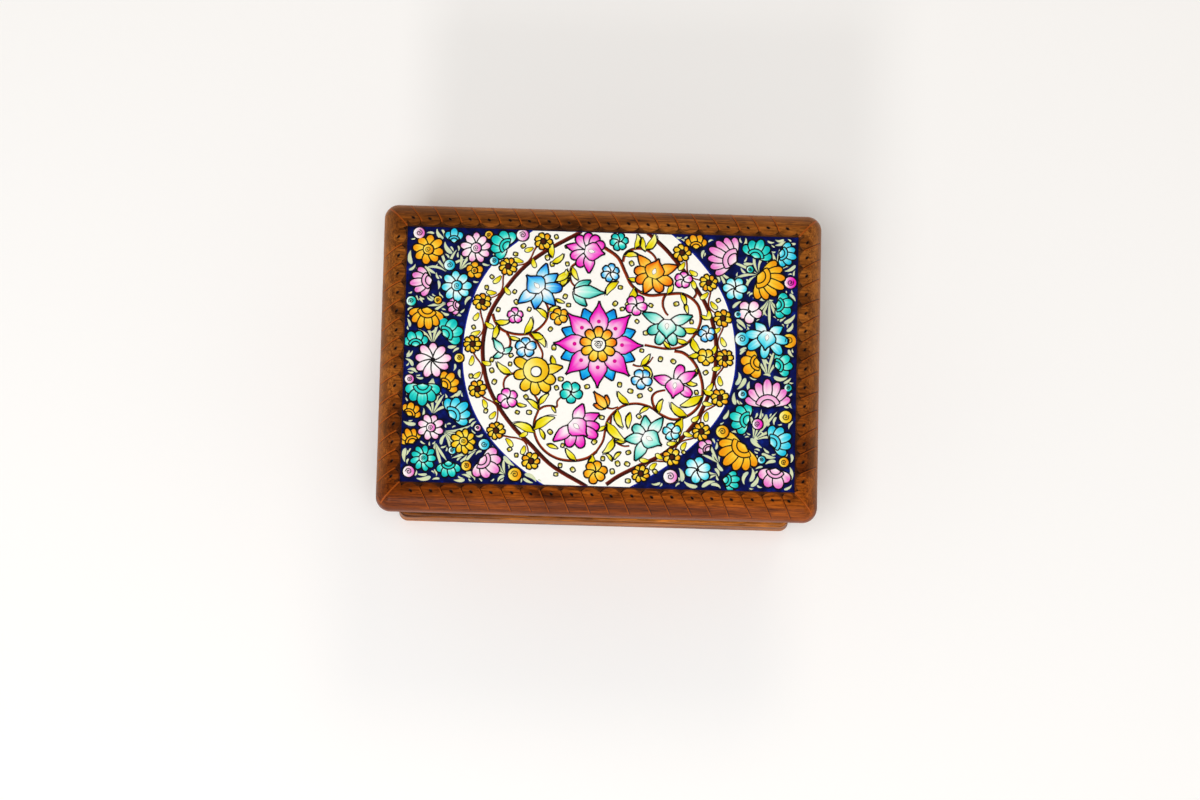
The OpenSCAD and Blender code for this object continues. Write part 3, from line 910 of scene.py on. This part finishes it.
def spiral(x, y, r, width, turns=1.6, start=0.0, height=PEN_Z):
    a = np.linspace(0, 2 * math.pi * turns, 9)
    rr = r * (0.12 + 0.88 * a / a[-1])
    places = np.column_stack([x + rr * np.cos(a + start), y + rr * np.sin(a + start)])
    pen(places, width, height, (0.9, 0.7))


# ---- motifs ----


def blossom(x, y, r, count, tint, turn, heart):
    """A flower seen from above."""
    taken.add(x, y, r + 0.15)
    width = 1.02 * 2 * 0.62 * r * math.sin(math.pi / count)
    late = 0.66 if tint in ("magenta", "blue", "cyan", "pink") else 0.5
    for k in range(count):
        a = turn + k * 360 / count + hand.uniform(-4, 4)
        length = 0.86 * r * hand.uniform(0.93, 1.06)
        own = "orange" if heart == "dark" and k % 4 == 1 else tint
        root = polar(x, y, 0.13 * r, a)
        dab(petals, *root, a, length, width, "round", own, PETAL_Z + RISE * k, turn_at=late)
    if heart == "dot":
        disc(x, y, 0.14 * r, "ink", HEART_Z, line=0)
    elif heart == "dark":
        disc(x, y, 0.27 * r, "brown", HEART_Z)
    elif heart == "spiral":
        disc(x, y, 0.30 * r, tint, HEART_Z)
        spiral(x, y, 0.21 * r, 0.3, start=math.radians(turn))


def fan(x, y, r, angle, tint, count, spread):
    """A flower seen from the side: round petals beyond a cup with a band. x, y is its middle."""
    taken.add(x, y, 0.95 * r)
    foot = polar(x, y, -0.62 * r, angle)
    width = 0.94 * 2 * 1.15 * r * math.sin(math.radians(spread / count / 2))
    order = sorted(range(count), key=lambda k: -abs(k - (count - 1) / 2))
    for level, k in enumerate(order):
        part = (k + 0.5) / count - 0.5
        a = angle + spread * part
        far = (1.48 - 0.30 * abs(part) * 2) * r - 0.3 * r
        height = PETAL_Z + RISE * level
        dab(petals, *polar(*foot, 0.3 * r, a), a, far, width, "round", tint, height, bend=10 * part)
    for size, height in ((0.62, 0.20), (0.36, 0.225)):
        cup(*foot, size * r, angle, min(spread * 0.9, 150), tint, height)


def cup(x, y, r, angle, spread, tint, height):
    """A slice of a disc with a rounded foot at x, y."""
    a = math.radians(angle)
    ahead = np.array([math.cos(a), math.sin(a)])
    way = np.linspace(-1, 1, 11)
    b = np.radians(angle + spread / 2 * way)
    aside = np.stack([-np.sin(a) * way, np.cos(a) * way], axis=-1)
    part = np.linspace(0, 1, 5)[:, None, None]
    for grow in (LINE, 0.0):
        rim = np.stack([np.cos(b), np.sin(b)], axis=-1) * (r + grow)
        foot = ahead * 0.04 * r + aside * (0.2 * r + grow)
        foot = foot - np.outer(np.sqrt(1 - 0.9 * way**2) * (0.1 * r + grow), ahead)
        bulge = aside * (grow + 0.1 * r) * np.sin(np.pi * part)
        grid = on_panel(foot * (1 - part) + rim * part + bulge + [x, y])
        if grow:
            backing.patch(grid, height, INK)
        else:
            tints = blend3(TINTS[tint], np.linspace(0.1, 0.8, 5))
            hearts.patch(grid, height + STEP, tints[:, None])


def lotus(x, y, r, angle, tint, rays):
    """A flower with a broad pointed petal. rays are the others: (turn from it, length, form)."""
    taken.add(x, y, 0.95 * r)
    for k, (turn, far, form) in enumerate(rays):
        a = angle + turn
        width = (0.52 if form == "point" else 0.46) * r
        dab(petals, *polar(x, y, 0.15 * r, a), a, far * r, width, form, tint, PETAL_Z + RISE * k,
            shade=0.35, turn_at=0.62)
    dab(hearts, *polar(x, y, -0.22 * r, angle), angle, r, 0.95 * r, "ogee", tint, 0.21,
        shade=1.1, gain=1.3, turn_at=0.62)
    dab(hearts, *polar(x, y, -0.05 * r, angle), angle, 0.34 * r, 0.2 * r, "leaf", "white", HEART_Z,
        line=0.1)


def bud(x, y, r, angle, tint, side):
    """Two short petals and a long one, from their common base."""
    taken.add(*polar(x, y, 0.5 * r, angle), 0.7 * r)
    for k, turn in enumerate(side):
        height = PETAL_Z + RISE * k
        dab(petals, x, y, angle + turn, 0.62 * r, 0.3 * r, "point", tint, height, bend=-0.4 * turn)
    dab(hearts, x, y, angle, r, 0.42 * r, "ogee", tint, BUD_Z, shade=1.0, gain=1.3, turn_at=0.62)


def rosebud(x, y, r, tint):
    taken.add(x, y, r + 0.25)
    disc(x, y, r, tint, ROSEBUD_Z)
    spiral(x, y, 0.62 * r, 0.38, turns=1.5, start=hand.uniform(0, 6))


def leaf(x, y, angle, length, bend):
    """A crescent with a bold dark spine that runs on past its tip."""
    width = 0.36 * length
    dab(leaves, x, y, angle, length, width, "leaf", "leaf", LEAF_Z, bend, line=0.30)
    grid, _, _ = stroke_grid(x, y, angle, length * 1.16, 0.95 * width, "leaf", bend, cols=3)
    pen(grid[1:, 0 if bend > 0 else 2][::2], 0.68, SPINE_Z, (1.0, 0.3))
    taken.add(*grid[4, 1], 0.3 * length)


def leafy(line, *places):
    """Leaves on a vine: (part of the way, side 1 or -1, length, bend)."""
    for part, side, length, bend in places:
        start, way = heading(line, part)
        angle = math.degrees(math.atan2(way[1], way[0])) + side * 38
        leaf(*start, angle, length, side * bend)


# ---- what is painted, in mm from the middle ----

DISC_LEFT = [
    (-23.5, 45), (-27.5, 41.9), (-35.8, 34.5), (-42.1, 24.5), (-45.5, 13.5), (-46.8, 2.5),
    (-46.1, -8), (-43.2, -18), (-38, -27.2), (-30.6, -35.4), (-21.5, -42.5), (-17.5, -45),
]
DISC_RIGHT = [
    (23, 45), (25.5, 43), (31.9, 37), (38.9, 28), (43.4, 18.4), (45.7, 7.5), (45.9, -3),
    (43.6, -13.2), (38.6, -22.2), (30.8, -30.6), (22.4, -37.6), (12.5, -43.8), (10, -45),
]
BOUGHS = [
    [(-7.5, 45), (-9.5, 43.6), (-19.4, 37.6), (-27.2, 31.2), (-34, 22.2), (-38.3, 13.9),
     (-40.1, 4.6), (-39.6, -3.7), (-37.8, -10.8), (-34.1, -17.9), (-28.9, -24.9), (-22.8, -30.9),
     (-15.6, -37.9), (-5.5, -43.8), (-3.5, -45)],
    [(15.2, 45), (16.5, 44), (21.6, 39.3), (26.8, 33.3), (31.9, 26.3), (36.1, 19.2), (38.8, 11),
     (39.5, 2.8), (38.9, -5.4), (36.8, -12.7), (33, -21), (28.1, -27.3), (22.3, -32.7),
     (14.4, -37), (7.4, -40.8), (3, -44)],
]
RING_FLOWERS = [
    [(-20.5, 40.9), (-32.3, 31.7), (-40.8, 18.9), (-43.7, 3.9), (-41.6, -11.9), (-34.9, -26.3),
     (-22.7, -36.6)],
    [(27.1, 38.3), (36.4, 27.9), (41.5, 15.5), (42.5, 1.4), (41, -12.6), (34.9, -24.6),
     (25.1, -33.8), (14.6, -39.9)],
]
SCROLLS = {  # name: (points, width, leaves as part of the way, side, length, bend)
    "crown": ([(0.6, 39.4), (5.3, 35.9), (8, 30.5), (10.5, 25.9), (15.5, 23), (21.6, 23.4),
     (27.8, 23.7), (32.6, 20.4), (34, 15), (32.4, 10), (28.5, 5.6), (23, 4.2), (15, 5.3)], 0.95,
     [(0.21, 1, 4.2, 60), (0.27, -1, 7.2, 75), (0.31, 1, 4.6, 60), (0.44, 1, 4.6, 55),
     (0.5, -1, 4.4, 45), (0.66, 1, 3.6, 70), (0.74, -1, 5.6, 60), (0.79, 1, 6.4, 70),
     (0.83, -1, 4.4, 40), (0.92, -1, 3.6, 30)]),
    "crown loop": ([(6.9, 34.5), (7.7, 37.3), (9.7, 38.9), (12.3, 39.4), (15, 38.9),
     (17.2, 37.4), (18.3, 35.5), (17.7, 33.8)], 0.8, [(0.12, -1, 5, 60), (0.38, 1, 5.4, 70),
     (0.55, 1, 7, 80), (0.2, -1, 3.6, 50)]),
    "lotus stem": ([(21.8, 23.4), (21, 21.4), (21, 19.2), (21.9, 17.1), (22.8, 16)], 0.75, []),
    "pink stem": ([(31.5, 22.4), (32.3, 24), (31.7, 25.6), (30.8, 26.8)], 0.65, []),
    "blue stem": ([(32.6, 9.6), (34.9, 9.2)], 0.4, []),
    "east": ([(25.2, 3.5), (28.3, 2.9), (31.1, 0.7), (33.2, -2.4), (34.8, -7), (35.1, -11.5),
     (33.6, -16), (30, -19.3), (25.5, -20.6), (21.3, -19.1), (17.6, -16.6), (13, -15.4),
     (8.5, -16.2), (5, -18.8), (2.9, -21.8), (2.2, -25.5), (1.5, -29), (-0.7, -32.8)], 0.85,
     [(0.1, 1, 5, 50), (0.18, -1, 4.4, 45), (0.28, 1, 5.2, 90), (0.31, -1, 8.2, 30),
     (0.42, -1, 7.4, 60), (0.44, 1, 8.8, 50), (0.55, -1, 5, 60), (0.6, 1, 3.8, 40),
     (0.69, -1, 5.8, 50), (0.75, 1, 6.6, 60), (0.84, 1, 8.4, 45), (0.86, -1, 3.6, 40)]),
    "south": ([(4.2, -20), (4, -22.5), (4.2, -25.2), (5, -27.6), (6.6, -29.5), (8.7, -30.4),
     (10.6, -30.3)], 0.65, [(0.62, 1, 4.6, 50), (0.55, -1, 6.4, 60)]),
    "south west": ([(-0.5, -32.6), (-3.5, -34.9), (-8, -36), (-13, -35.6), (-17.2, -33.6),
     (-20.2, -30.4), (-21.8, -26.5), (-21.9, -22.5), (-20.5, -18), (-21.1, -15), (-22.4, -13)],
     0.8, [(0.06, 1, 8, 55), (0.2, -1, 5.4, 35), (0.62, 1, 7.6, 40), (0.64, -1, 8.4, 50),
     (0.8, 1, 5.2, 45), (0.86, -1, 5, 30)]),
    "teal stem": ([(-20.4, -18.4), (-18.6, -17.3), (-16.4, -17), (-14.4, -17.3), (-14.3, -15.4),
     (-13, -13.8)], 0.6, [(0.45, -1, 2.6, 20)]),
    "west": ([(-28, -5.8), (-30.4, -6.3), (-32.1, -7.7), (-32.7, -9.7), (-32.4, -11.8)], 0.65,
     [(0.25, -1, 6.4, 45)]),
    "north west": ([(-37.1, 14.8), (-36, 11.8), (-34, 9.5), (-31, 8.2), (-27, 7.8),
     (-23.3, 8.6), (-20.2, 11), (-18.4, 14), (-18.2, 17.2), (-19.5, 20)], 0.8,
     [(0.1, 1, 5.2, 60), (0.16, -1, 5.4, 35), (0.55, -1, 7, 60), (0.48, 1, 6.4, 50),
     (0.78, 1, 5, 60), (0.86, -1, 4.4, 70)]),
    "bud stem": ([(-32.1, 8.3), (-31, 6.3), (-30.8, 4.1), (-31.7, 2.5), (-33, 1.2)], 0.65,
     [(0.2, 1, 3.6, 30)]),
    "gold stem": ([(-24.4, 8), (-22.2, 5.9), (-20.6, 3.4), (-19.7, 1.2), (-20, -1.4)], 0.65,
     [(0.2, 1, 2.8, 30)]),
    "north stem": ([(-8.6, 33.8), (-10.5, 32.2), (-11, 29.5), (-10.5, 26.9), (-9, 25)], 0.7,
     [(0.42, -1, 6.8, 35), (0.28, 1, 5, 30), (0.6, -1, 4.6, 30)]),
    "sprig": ([(11.1, -1.7), (12.7, -2.2), (14.8, -2), (16.6, -0.9), (18, 1.2)], 0.5,
     [(0.45, 1, 5, 20), (0.5, -1, 5.2, 70)]),
    "bud link": ([(2.2, -16.9), (4.4, -17.4), (6.5, -16.7)], 0.55, []),
    "magenta stem": ([(19.5, -17.7), (18.3, -15.3), (18, -12.9), (19.2, -11.3), (21.2, -10.6),
     (22.4, -10.4)], 0.75, []),
}
SINGLE_LEAVES = [  # x, y, angle, length, bend
    (-17.2, 35.2, 110, 5.6, -40), (-17.4, 33.4, 10, 5.2, 60), (-14, 24.8, 60, 6.6, 30),
    (5.6, 27.4, 200, 6.4, 60), (13.4, 43.4, 260, 5, 50), (-16.6, 0.6, 280, 4.6, 20),
    (28.6, 20.4, 280, 3.6, 10), (-18.4, -28.8, 100, 3.8, 30), (-17.4, -30.6, 350, 3.8, -20),
    (4.8, -35.8, 100, 3.2, 60), (7.8, -32.6, 200, 3.4, 60), (29.2, -6.5, 300, 4.4, 80),
    (10.6, -18.6, 250, 5.4, 30), (-28.2, -16.6, 330, 3.4, 40), (-15.8, 20.6, 330, 3.2, 20),
]
DAISIES = [  # x, y, radius, petals, tint, turn, heart
    (5.5, 41.6, 3.1, 6, "aqua", 10, "dot"), (2.8, 30.5, 3, 6, "blue", 20, "dot"),
    (27.7, 28.7, 2.9, 5, "magenta", 80, "dot"), (11.8, 19.2, 3.5, 5, "magenta", 60, "dot"),
    (36.1, 9.9, 2.8, 5, "blue", 30, "dot"), (-25.6, 3.2, 3.5, 5, "blue", 90, "dot"),
    (14.2, -6.7, 3.4, 5, "blue", 50, "dot"), (-14.3, 14.6, 2.8, 5, "orange", 40, "dot"),
    (-29.4, 14.4, 2.6, 5, "magenta", 20, "dot"), (-9.7, -12, 3.7, 5, "aqua", 270, "dot"),
    (-31.2, -14.9, 3.5, 5, "magenta", 35, "dot"), (24.9, -24.9, 2.9, 5, "cyan", 100, "dot"),
    (-0.8, -39.7, 3.9, 6, "orange", 15, "dot"), (36, 1.6, 2.9, 5, "yellow", 270, "dot"),
    (-59.7, 36.9, 5.3, 8, "orange", 80, "spiral"), (-43.4, 37.9, 5.3, 9, "pink", 90, "spiral"),
    (-49.6, 24.3, 5.3, 8, "cyan", 95, "spiral"), (-45.8, -30.4, 4.2, 9, "yellow", 0, "spiral"),
    (-57, -25.8, 4.5, 8, "pink", 70, "spiral"), (-59.2, -36.6, 4.4, 9, "aqua", 40, "spiral"),
    (-43.7, 29.9, 2.9, 5, "orange", 90, "spiral"), (45.4, 26.1, 4.1, 6, "cyan", 60, "dot"),
    (50.6, 18.1, 4.1, 5, "pink", 130, "dot"), (33.9, -38, 4.5, 6, "cyan", 80, "dot"),
    (-57, -2.1, 6.2, 9, "pink", 90, "dot"),
]
FANS = [  # x, y, radius, angle, tint, petals, spread
    (-34.8, 40, 4.3, 150, "aqua", 5, 190), (-51.2, 8.5, 4.7, 35, "aqua", 4, 150),
    (-60.2, -13.9, 5, 270, "aqua", 5, 170), (-51, 41.8, 3.3, 90, "cyan", 3, 110),
    (-63.2, 5, 3.8, 95, "aqua", 4, 150), (-48.1, -19.7, 5, 40, "cyan", 5, 150),
    (-61.4, 25.5, 5, 190, "pink", 5, 130), (-59.8, 12.9, 5.2, 262, "orange", 6, 150),
    (-51.3, -9.7, 4, 35, "orange", 4, 130), (-63.7, -20, 3.2, 60, "orange", 4, 140),
    (-64, -29.4, 3.6, 115, "orange", 5, 140), (-50.4, 17.1, 2.9, 195, "pink", 4, 130),
    (-37.2, -38.2, 5, 325, "pink", 5, 170), (-50.6, -40, 3.9, 272, "aqua", 4, 130),
    (31.9, 42.2, 3.5, 90, "orange", 4, 130), (57, 29.1, 6.6, 335, "orange", 7, 150),
    (51.5, -0.4, 4.4, 195, "orange", 4, 160), (46.8, -31.9, 6.6, 225, "orange", 7, 170),
    (41.7, 37.7, 6.8, 155, "pink", 7, 140), (57.3, -11.2, 6.6, 92, "pink", 7, 160),
    (36.3, -29.9, 2.8, 140, "pink", 3, 130), (60, -40, 4.9, 262, "pink", 4, 150),
    (53.1, 40, 4.5, 70, "aqua", 5, 160), (62.2, 20.5, 3.9, 350, "aqua", 4, 160),
    (62.2, 0, 4.1, 20, "aqua", 4, 140), (48.3, -19.5, 4.5, 165, "aqua", 5, 170),
    (45.2, -41.6, 3.9, 350, "aqua", 4, 110), (63, 38.6, 3.9, 345, "cyan", 5, 150),
    (61.5, -26.8, 5, 25, "cyan", 5, 150),
]
ROSEBUDS = [  # x, y, radius, tint
    (-63, 42.7, 1.9, "pink"), (-52.3, 31.6, 1.8, "cyan"), (-64.8, -9, 1.5, "pink"),
    (-64.1, -41.4, 1.9, "pink"), (-38.8, -31.2, 1.8, "cyan"), (-65, 18.5, 1.6, "aqua"),
    (-55.9, 19.1, 1.2, "orange"), (-39.1, 42.7, 1.3, "orange"), (-37.1, 33.5, 1.4, "cyan"),
    (-48.1, -1.1, 1.5, "yellow"), (-44.6, -38.9, 1.6, "orange"), (-41.1, -25.5, 1, "pink"),
    (-28.1, -41.4, 2.2, "orange"), (64.4, 28.8, 2, "magenta"), (48.2, 8.4, 2.3, "cyan"),
    (63.5, -18.6, 2.1, "yellow"), (54, -21.4, 1.7, "magenta"), (24.7, -40.6, 2.3, "pink"),
    (46.6, 17, 1.1, "cyan"), (50.5, 33.1, 1.1, "aqua"), (48.7, -11.1, 1.4, "cyan"),
    (64.3, 8.2, 2.4, "orange"), (42.1, -24.4, 2.1, "orange"), (63.2, -34.5, 1.6, "orange"),
    (-27.6, 43, 2, "pink"), (-49.5, -33.6, 1.2, "cyan"), (55.6, -33.9, 1.2, "cyan"),
    (64.2, -8.4, 1.2, "aqua"),
]
SPRAYS = [  # x, y, direction, how many, spread, length
    (-53, 29.4, 105, 7, 165, 6.5), (-57.2, 4.2, 95, 6, 120, 6.5), (-53.2, 18, 190, 4, 80, 5.5),
    (-56.4, -20.8, 80, 6, 130, 5.8), (-52.2, -27.2, 330, 7, 120, 7.5),
    (-55.4, -31.2, 285, 4, 70, 6.5), (-48.6, 30.2, 60, 4, 80, 5.5), (-56.8, -8.6, 260, 4, 70, 5),
    (53.2, 31.6, 150, 8, 230, 7), (57.3, 22.4, 270, 7, 130, 7), (57.2, -4.2, 92, 6, 100, 7),
    (53, -26.8, 55, 8, 120, 8.5), (57, -17.8, 262, 3, 60, 5), (41, -35.2, 120, 5, 120, 6),
    (40.5, -39.5, 200, 4, 120, 5), (59.6, 33.5, 80, 4, 90, 5.5), (-41.6, -33.4, 200, 4, 90, 6),
    (-31.5, -41.4, 130, 4, 110, 4.5), (39.8, 32, 300, 4, 90, 5.5), (-60.6, 31, 300, 3, 60, 4.5),
]
LOTUSES = [  # x, y, radius, angle, tint, rays
    (-4.6, 38, 6.6, 350, "magenta", [(178, 1.05, "point"), (140, 0.85, "round"),
     (105, 0.8, "round"), (75, 0.75, "round"), (-150, 0.85, "round"), (-115, 0.85, "round"),
     (-80, 1, "point"), (40, 0.7, "round")]),
    (-21.7, 24.6, 7.2, 135, "blue", [(-62, 1.05, "point"), (-98, 0.95, "point"),
     (-135, 0.95, "round"), (178, 1, "point"), (128, 0.9, "point"), (85, 1.05, "point")]),
    (17.5, 30.6, 6.8, 72, "flame", [(58, 1.05, "point"), (98, 0.8, "round"),
     (135, 0.8, "round"), (175, 0.95, "point"), (-140, 0.85, "round"), (-100, 0.9, "round"),
     (-52, 1.1, "point")]),
    (22.5, 12.9, 6.4, 268, "teal", [(-112, 1.25, "point"), (112, 1.25, "point"),
     (-62, 0.95, "round"), (-22, 1.05, "round"), (22, 1.05, "round"), (62, 0.95, "round")]),
    (-8.2, -23.4, 7.2, 318, "magenta", [(68, 1.1, "point"), (38, 1, "round"),
     (112, 0.9, "point"), (-30, 1, "round"), (-62, 0.95, "round"), (-98, 1.1, "point"),
     (14, 1.05, "round")]),
    (25.7, -8, 6.4, 262, "magenta", [(170, 0.9, "round"), (130, 1.1, "point"),
     (-98, 1, "point"), (62, 0.9, "round")]),
    (16.6, -27.2, 6.8, 332, "teal", [(125, 0.95, "point"), (82, 1.1, "point"),
     (168, 0.75, "round"), (-145, 0.95, "point"), (-88, 1.15, "point")]),
    (56.8, 9.8, 6.4, 262, "cyan", [(-130, 0.8, "point"), (130, 0.8, "point"), (-85, 1, "round"),
     (-45, 1.1, "round"), (45, 1.1, "round"), (82, 1, "round"), (0, 1.1, "round")]),
]
BUDS = [  # x, y, length, angle, tint, turns of the short petals
    (-9.2, 23.6, 10.2, 358, "teal", (48, -62)), (-33.4, 1.4, 5.6, 125, "teal", (110, -120)),
    (2.2, -16.9, 6.4, 128, "flame", (52, -50)),
]
GOLD_PETALS = [  # direction, reach, form
    (150, 8.2, "round"), (192, 7.4, "round"), (235, 7.8, "round"), (270, 8, "round"),
    (302, 8, "round"), (332, 7.2, "round"), (12, 9, "point"),
]


def paint_ground():
    """The cream oval with its bright blue edge, on the panel's navy."""
    left, right = smooth_line(DISC_LEFT), smooth_line(DISC_RIGHT)
    levels = 2 * np.linspace(1, 0, 64) - 1
    y = levels * (PANEL_D / 2 - MARGIN)
    starts, ends = (np.interp(y, side[::-1, 1], side[::-1, 0]) for side in (left, right))
    part = np.linspace(0, 1, 80)
    x = starts[:, None] + (ends - starts)[:, None] * part
    grid = np.dstack([x, np.broadcast_to(y[:, None], x.shape)])
    cream.patch(grid, CREAM_Z, TINTS["white"][1])
    for line in (left, right):
        ribbon(edge, line, 0.9, EDGE_Z, [srgb("061e96")] * 3)


def paint_ring(flowers, bough):
    """The thin vine that swings from one ring flower to the next, touching the bough."""
    bough = smooth_line(bough)
    for k, (x, y) in enumerate(flowers):
        blossom(x, y, 2.9, 8 if k % 2 else 7, "yellow", 17 * k, "dark")
    for start, end in zip(np.array(flowers), np.array(flowers[1:])):
        way = end - start
        far = np.linalg.norm(way)
        way = way / far
        touch = start + 0.66 * far * way
        inner = bough[np.argmin(np.linalg.norm(bough - touch, axis=1))]
        out = touch - inner
        out /= max(np.linalg.norm(out), 0.1)
        dip = min(np.linalg.norm(touch - inner) - 0.9, 0.25 * far)
        swing = []
        for f in np.linspace(2.5 / far, 1 - 2.5 / far, 6):
            off = 0.8 * math.sin(2 * math.pi * f) - dip * math.sin(math.pi * f) ** 2
            swing.append(start + f * far * way + off * out)
        line = vine(swing, 0.55)
        for part, side, turn in ((0.15, -1, 24), (0.46, 1, 28), (0.78, -1, 24)):
            here, step = heading(line, part)
            place = here + side * 0.85 * np.array([-step[1], step[0]])
            a = math.degrees(math.atan2(step[1], step[0])) + side * turn
            length = hand.uniform(2.8, 3.5)
            dab(leaves, *place, a, length, 1.4, "drop", "leaf", LEAF_Z, side * 35, line=0.27)
            taken.add(*polar(*place, 1.4, a), 0.9)


def paint_rosette(x=-0.8, y=5.0):
    """The flower in the middle: two rings of pointed petals, a ring of round ones, a spiral."""
    taken.add(x, y, 13.5)
    for k in range(8):
        a = 22.5 + 45 * k
        dab(petals, *polar(x, y, 6.5, a), a, 6.8, 4.6, "point", "azure", PETAL_Z, shade=0.3)
    for k in range(8):
        a = 45 * k
        dab(hearts, *polar(x, y, 3.4, a), a, 11.6, 6.2, "ogee", "rose", 0.10 + RISE * k,
            shade=1.1, gain=3.0, turn_at=0.58)
        disc(*polar(x, y, 8.1, a), 0.7, "magenta_dot", 0.22, line=0)
    for k in range(9):
        a = 40 * k + 10
        tint = "flame" if math.sin(math.radians(a)) > -0.3 else "orange"
        dab(petals, *polar(x, y, 2.2, a), a, 3.9, 2.6, "round", tint, HEART_Z + RISE * k,
            turn_at=0.6)
    disc(x, y, 2.3, "white", 0.37)
    spiral(x, y, 1.8, 0.36, turns=2.4, height=0.39)


def paint_gold_flower(x=-21.8, y=-5.2):
    """The large yellow one: a dome with a pale eye over a skirt of petals."""
    taken.add(x, y, 7.0)
    for k, (a, far, form) in enumerate(GOLD_PETALS):
        dab(petals, *polar(x, y, 2, a), a, far - 2, 3.2, form, "yellow", PETAL_Z + RISE * k)
    disc(x, y + 0.6, 4.2, "yellow", 0.20)
    disc(x, y, 1.6, "white", 0.22)


def paint_seeds():
    """Small outlined dots in the open cream."""
    for _ in range(2600):
        x, y = hand.uniform(-44, 43), hand.uniform(-44, 44)
        if on_navy(x, y, 45.0, 46.2):
            continue
        r = hand.uniform(0.5, 0.75)
        if taken.free(x, y, r + 0.7):
            taken.add(x, y, r + 1.0)
            a = hand.uniform(0, 360)
            start = polar(x, y, -r, a)
            dab(leaves, *start, a, 2.2 * r, 1.6 * r, "disc", "seed", SEED_Z, line=0.42)


def on_navy(x, y, half_w=47.2, half_d=48.6):
    """Whether a place is outside an ellipse about the cream."""
    return ((x + 0.5) / half_w) ** 2 + ((y - 2) / half_d) ** 2 > 1


def comma(x, y, angle, length, bend, width):
    """A short curved stroke about x, y, if there is room for it on the navy."""
    start = polar(x, y, -0.5 * length, angle + bend / 2)
    grid, _, _ = stroke_grid(*start, angle, length, width, "comma", bend, cols=3)
    spine = grid[1:, 1]
    if (np.abs(spine) < NAVY_REACH).all() and all(
        on_navy(*p, 47.6, 49.0) and taken.free(*p, 0.3 * width + 0.05) for p in spine
    ):
        dab(leaves, *start, angle, length, width, "comma", "comma", COMMA_Z, bend, line=0, gain=1)
        for p in spine:
            taken.add(*p, 0.36 * width)


def paint_sprays():
    """Curved blades that spread from the flowers on the navy."""
    for x, y, direction, count, spread, length in SPRAYS:
        count = max(3, round(0.65 * count))
        for k in range(count):
            part = (k + 0.5) / count - 0.5
            far = 1.35 * length * hand.uniform(0.85, 1.1) * (1 - 0.4 * abs(part))
            bend = spread * part + hand.uniform(-15, 15)
            a = direction + 0.5 * spread * part
            start = np.array(polar(x, y, 0.2 * spread / 150 * length * part, direction + 90))
            end = np.array(polar(*start, far, a + 0.5 * bend))
            if (np.abs(end) < (PANEL_W / 2 - 0.6, PANEL_D / 2 - 0.6)).all() and on_navy(*end):
                dab(leaves, *start, a, far, 0.95, "blade", "comma", BLADE_Z, bend, line=0, gain=1)
                for f in (0.2, 0.35, 0.5, 0.65, 0.8):
                    taken.add(*(start + f * (end - start)), 0.4)


def flow(x, y):
    """The way that the short strokes lie at a place on the panel, in degrees."""
    return 90 + 60 * math.sin(0.13 * x + 0.08 * y) + 50 * math.sin(0.19 * y - 0.07 * x + 1.0)


def paint_commas():
    """Short strokes that fill the navy between the flowers."""
    for size in (5.0, 4.4, 3.8, 3.2, 2.6, 2.0, 1.5):
        for _ in range(12000):
            x, y = hand.uniform(-66, 66), hand.uniform(-44, 44)
            width = hand.uniform(0.24, 0.29) * size + 0.12
            if on_navy(x, y, 47.6, 49.0) and taken.free(x, y, 0.4 * width):
                bend = hand.choice((-1, 1)) * hand.uniform(35, 95)
                a = flow(x, y) + hand.uniform(-50, 50) + 180 * hand.integers(0, 2)
                comma(x, y, a - bend / 2, size, bend, width)


def paint_all():
    paint_ground()
    for bough in BOUGHS:
        vine(bough, 1.3, "bough", (1.0, 1.0))
    drawn = [(vine(points, 1.2 * width), marks) for points, width, marks in SCROLLS.values()]
    paint_rosette()
    paint_gold_flower()
    for motif, table in ((lotus, LOTUSES), (bud, BUDS), (blossom, DAISIES), (fan, FANS),
                         (rosebud, ROSEBUDS)):
        for row in table:
            motif(*row)
    for flowers, bough in zip(RING_FLOWERS, BOUGHS):
        paint_ring(flowers, bough)
    for line, marks in drawn:
        leafy(line, *marks)
    for row in SINGLE_LEAVES:
        leaf(*row)
    paint_seeds()
    paint_sprays()
    paint_commas()
    gloss = paint("paint")
    for layer in (cream, edge, vines, leaves, petals, hearts):
        layer.make(gloss)
    black = paint("paint_black")
    for layer in (backing, ink):
        layer.make(black)


# ---- the box ----

make_camera()
make_light()
make_floor()

wood_lid = walnut("walnut_lid", (0.06, 0.5, 1.5), carved=True)
wood_long = walnut("walnut_long", (0.06, 1.2, 0.8), (31, 7, 3))
wood_short = walnut("walnut_short", (1.2, 0.06, 0.8), (11, 5, 9))
# the base board's walnut is a brighter copy of the same wood: painted light
wood_base = walnut("walnut_base", (0.06, 0.6, 1.2), (3, 41, 17), 1.35)
brass = metal("hinge_brass", (0.66, 0.47, 0.19), 0.26, (0.30, 0.17, 0.06), 0.6)
velvet_pile = velvet("velvet")

CAD_LOOKS = {
    "base_board": wood_base,
    "front_wall": wood_long,
    "back_wall": wood_long,
    "left_wall": wood_short,
    "right_wall": wood_short,
    "base_screws": metal("screw_steel", (0.46, 0.45, 0.43), 0.35, (0.20, 0.14, 0.10), 0.5),
    "floor_lining": velvet_pile,
    "painted_panel": navy_ground("panel_navy"),
    "lid_board": wood_lid,
}
for name, node in frame["nodes"].items():
    node.data.materials.clear()
    node.data.materials.append(CAD_LOOKS.get(name, brass))

make_carved_lid(wood_lid)
make_floor_velvet(velvet_pile)
paint_all()
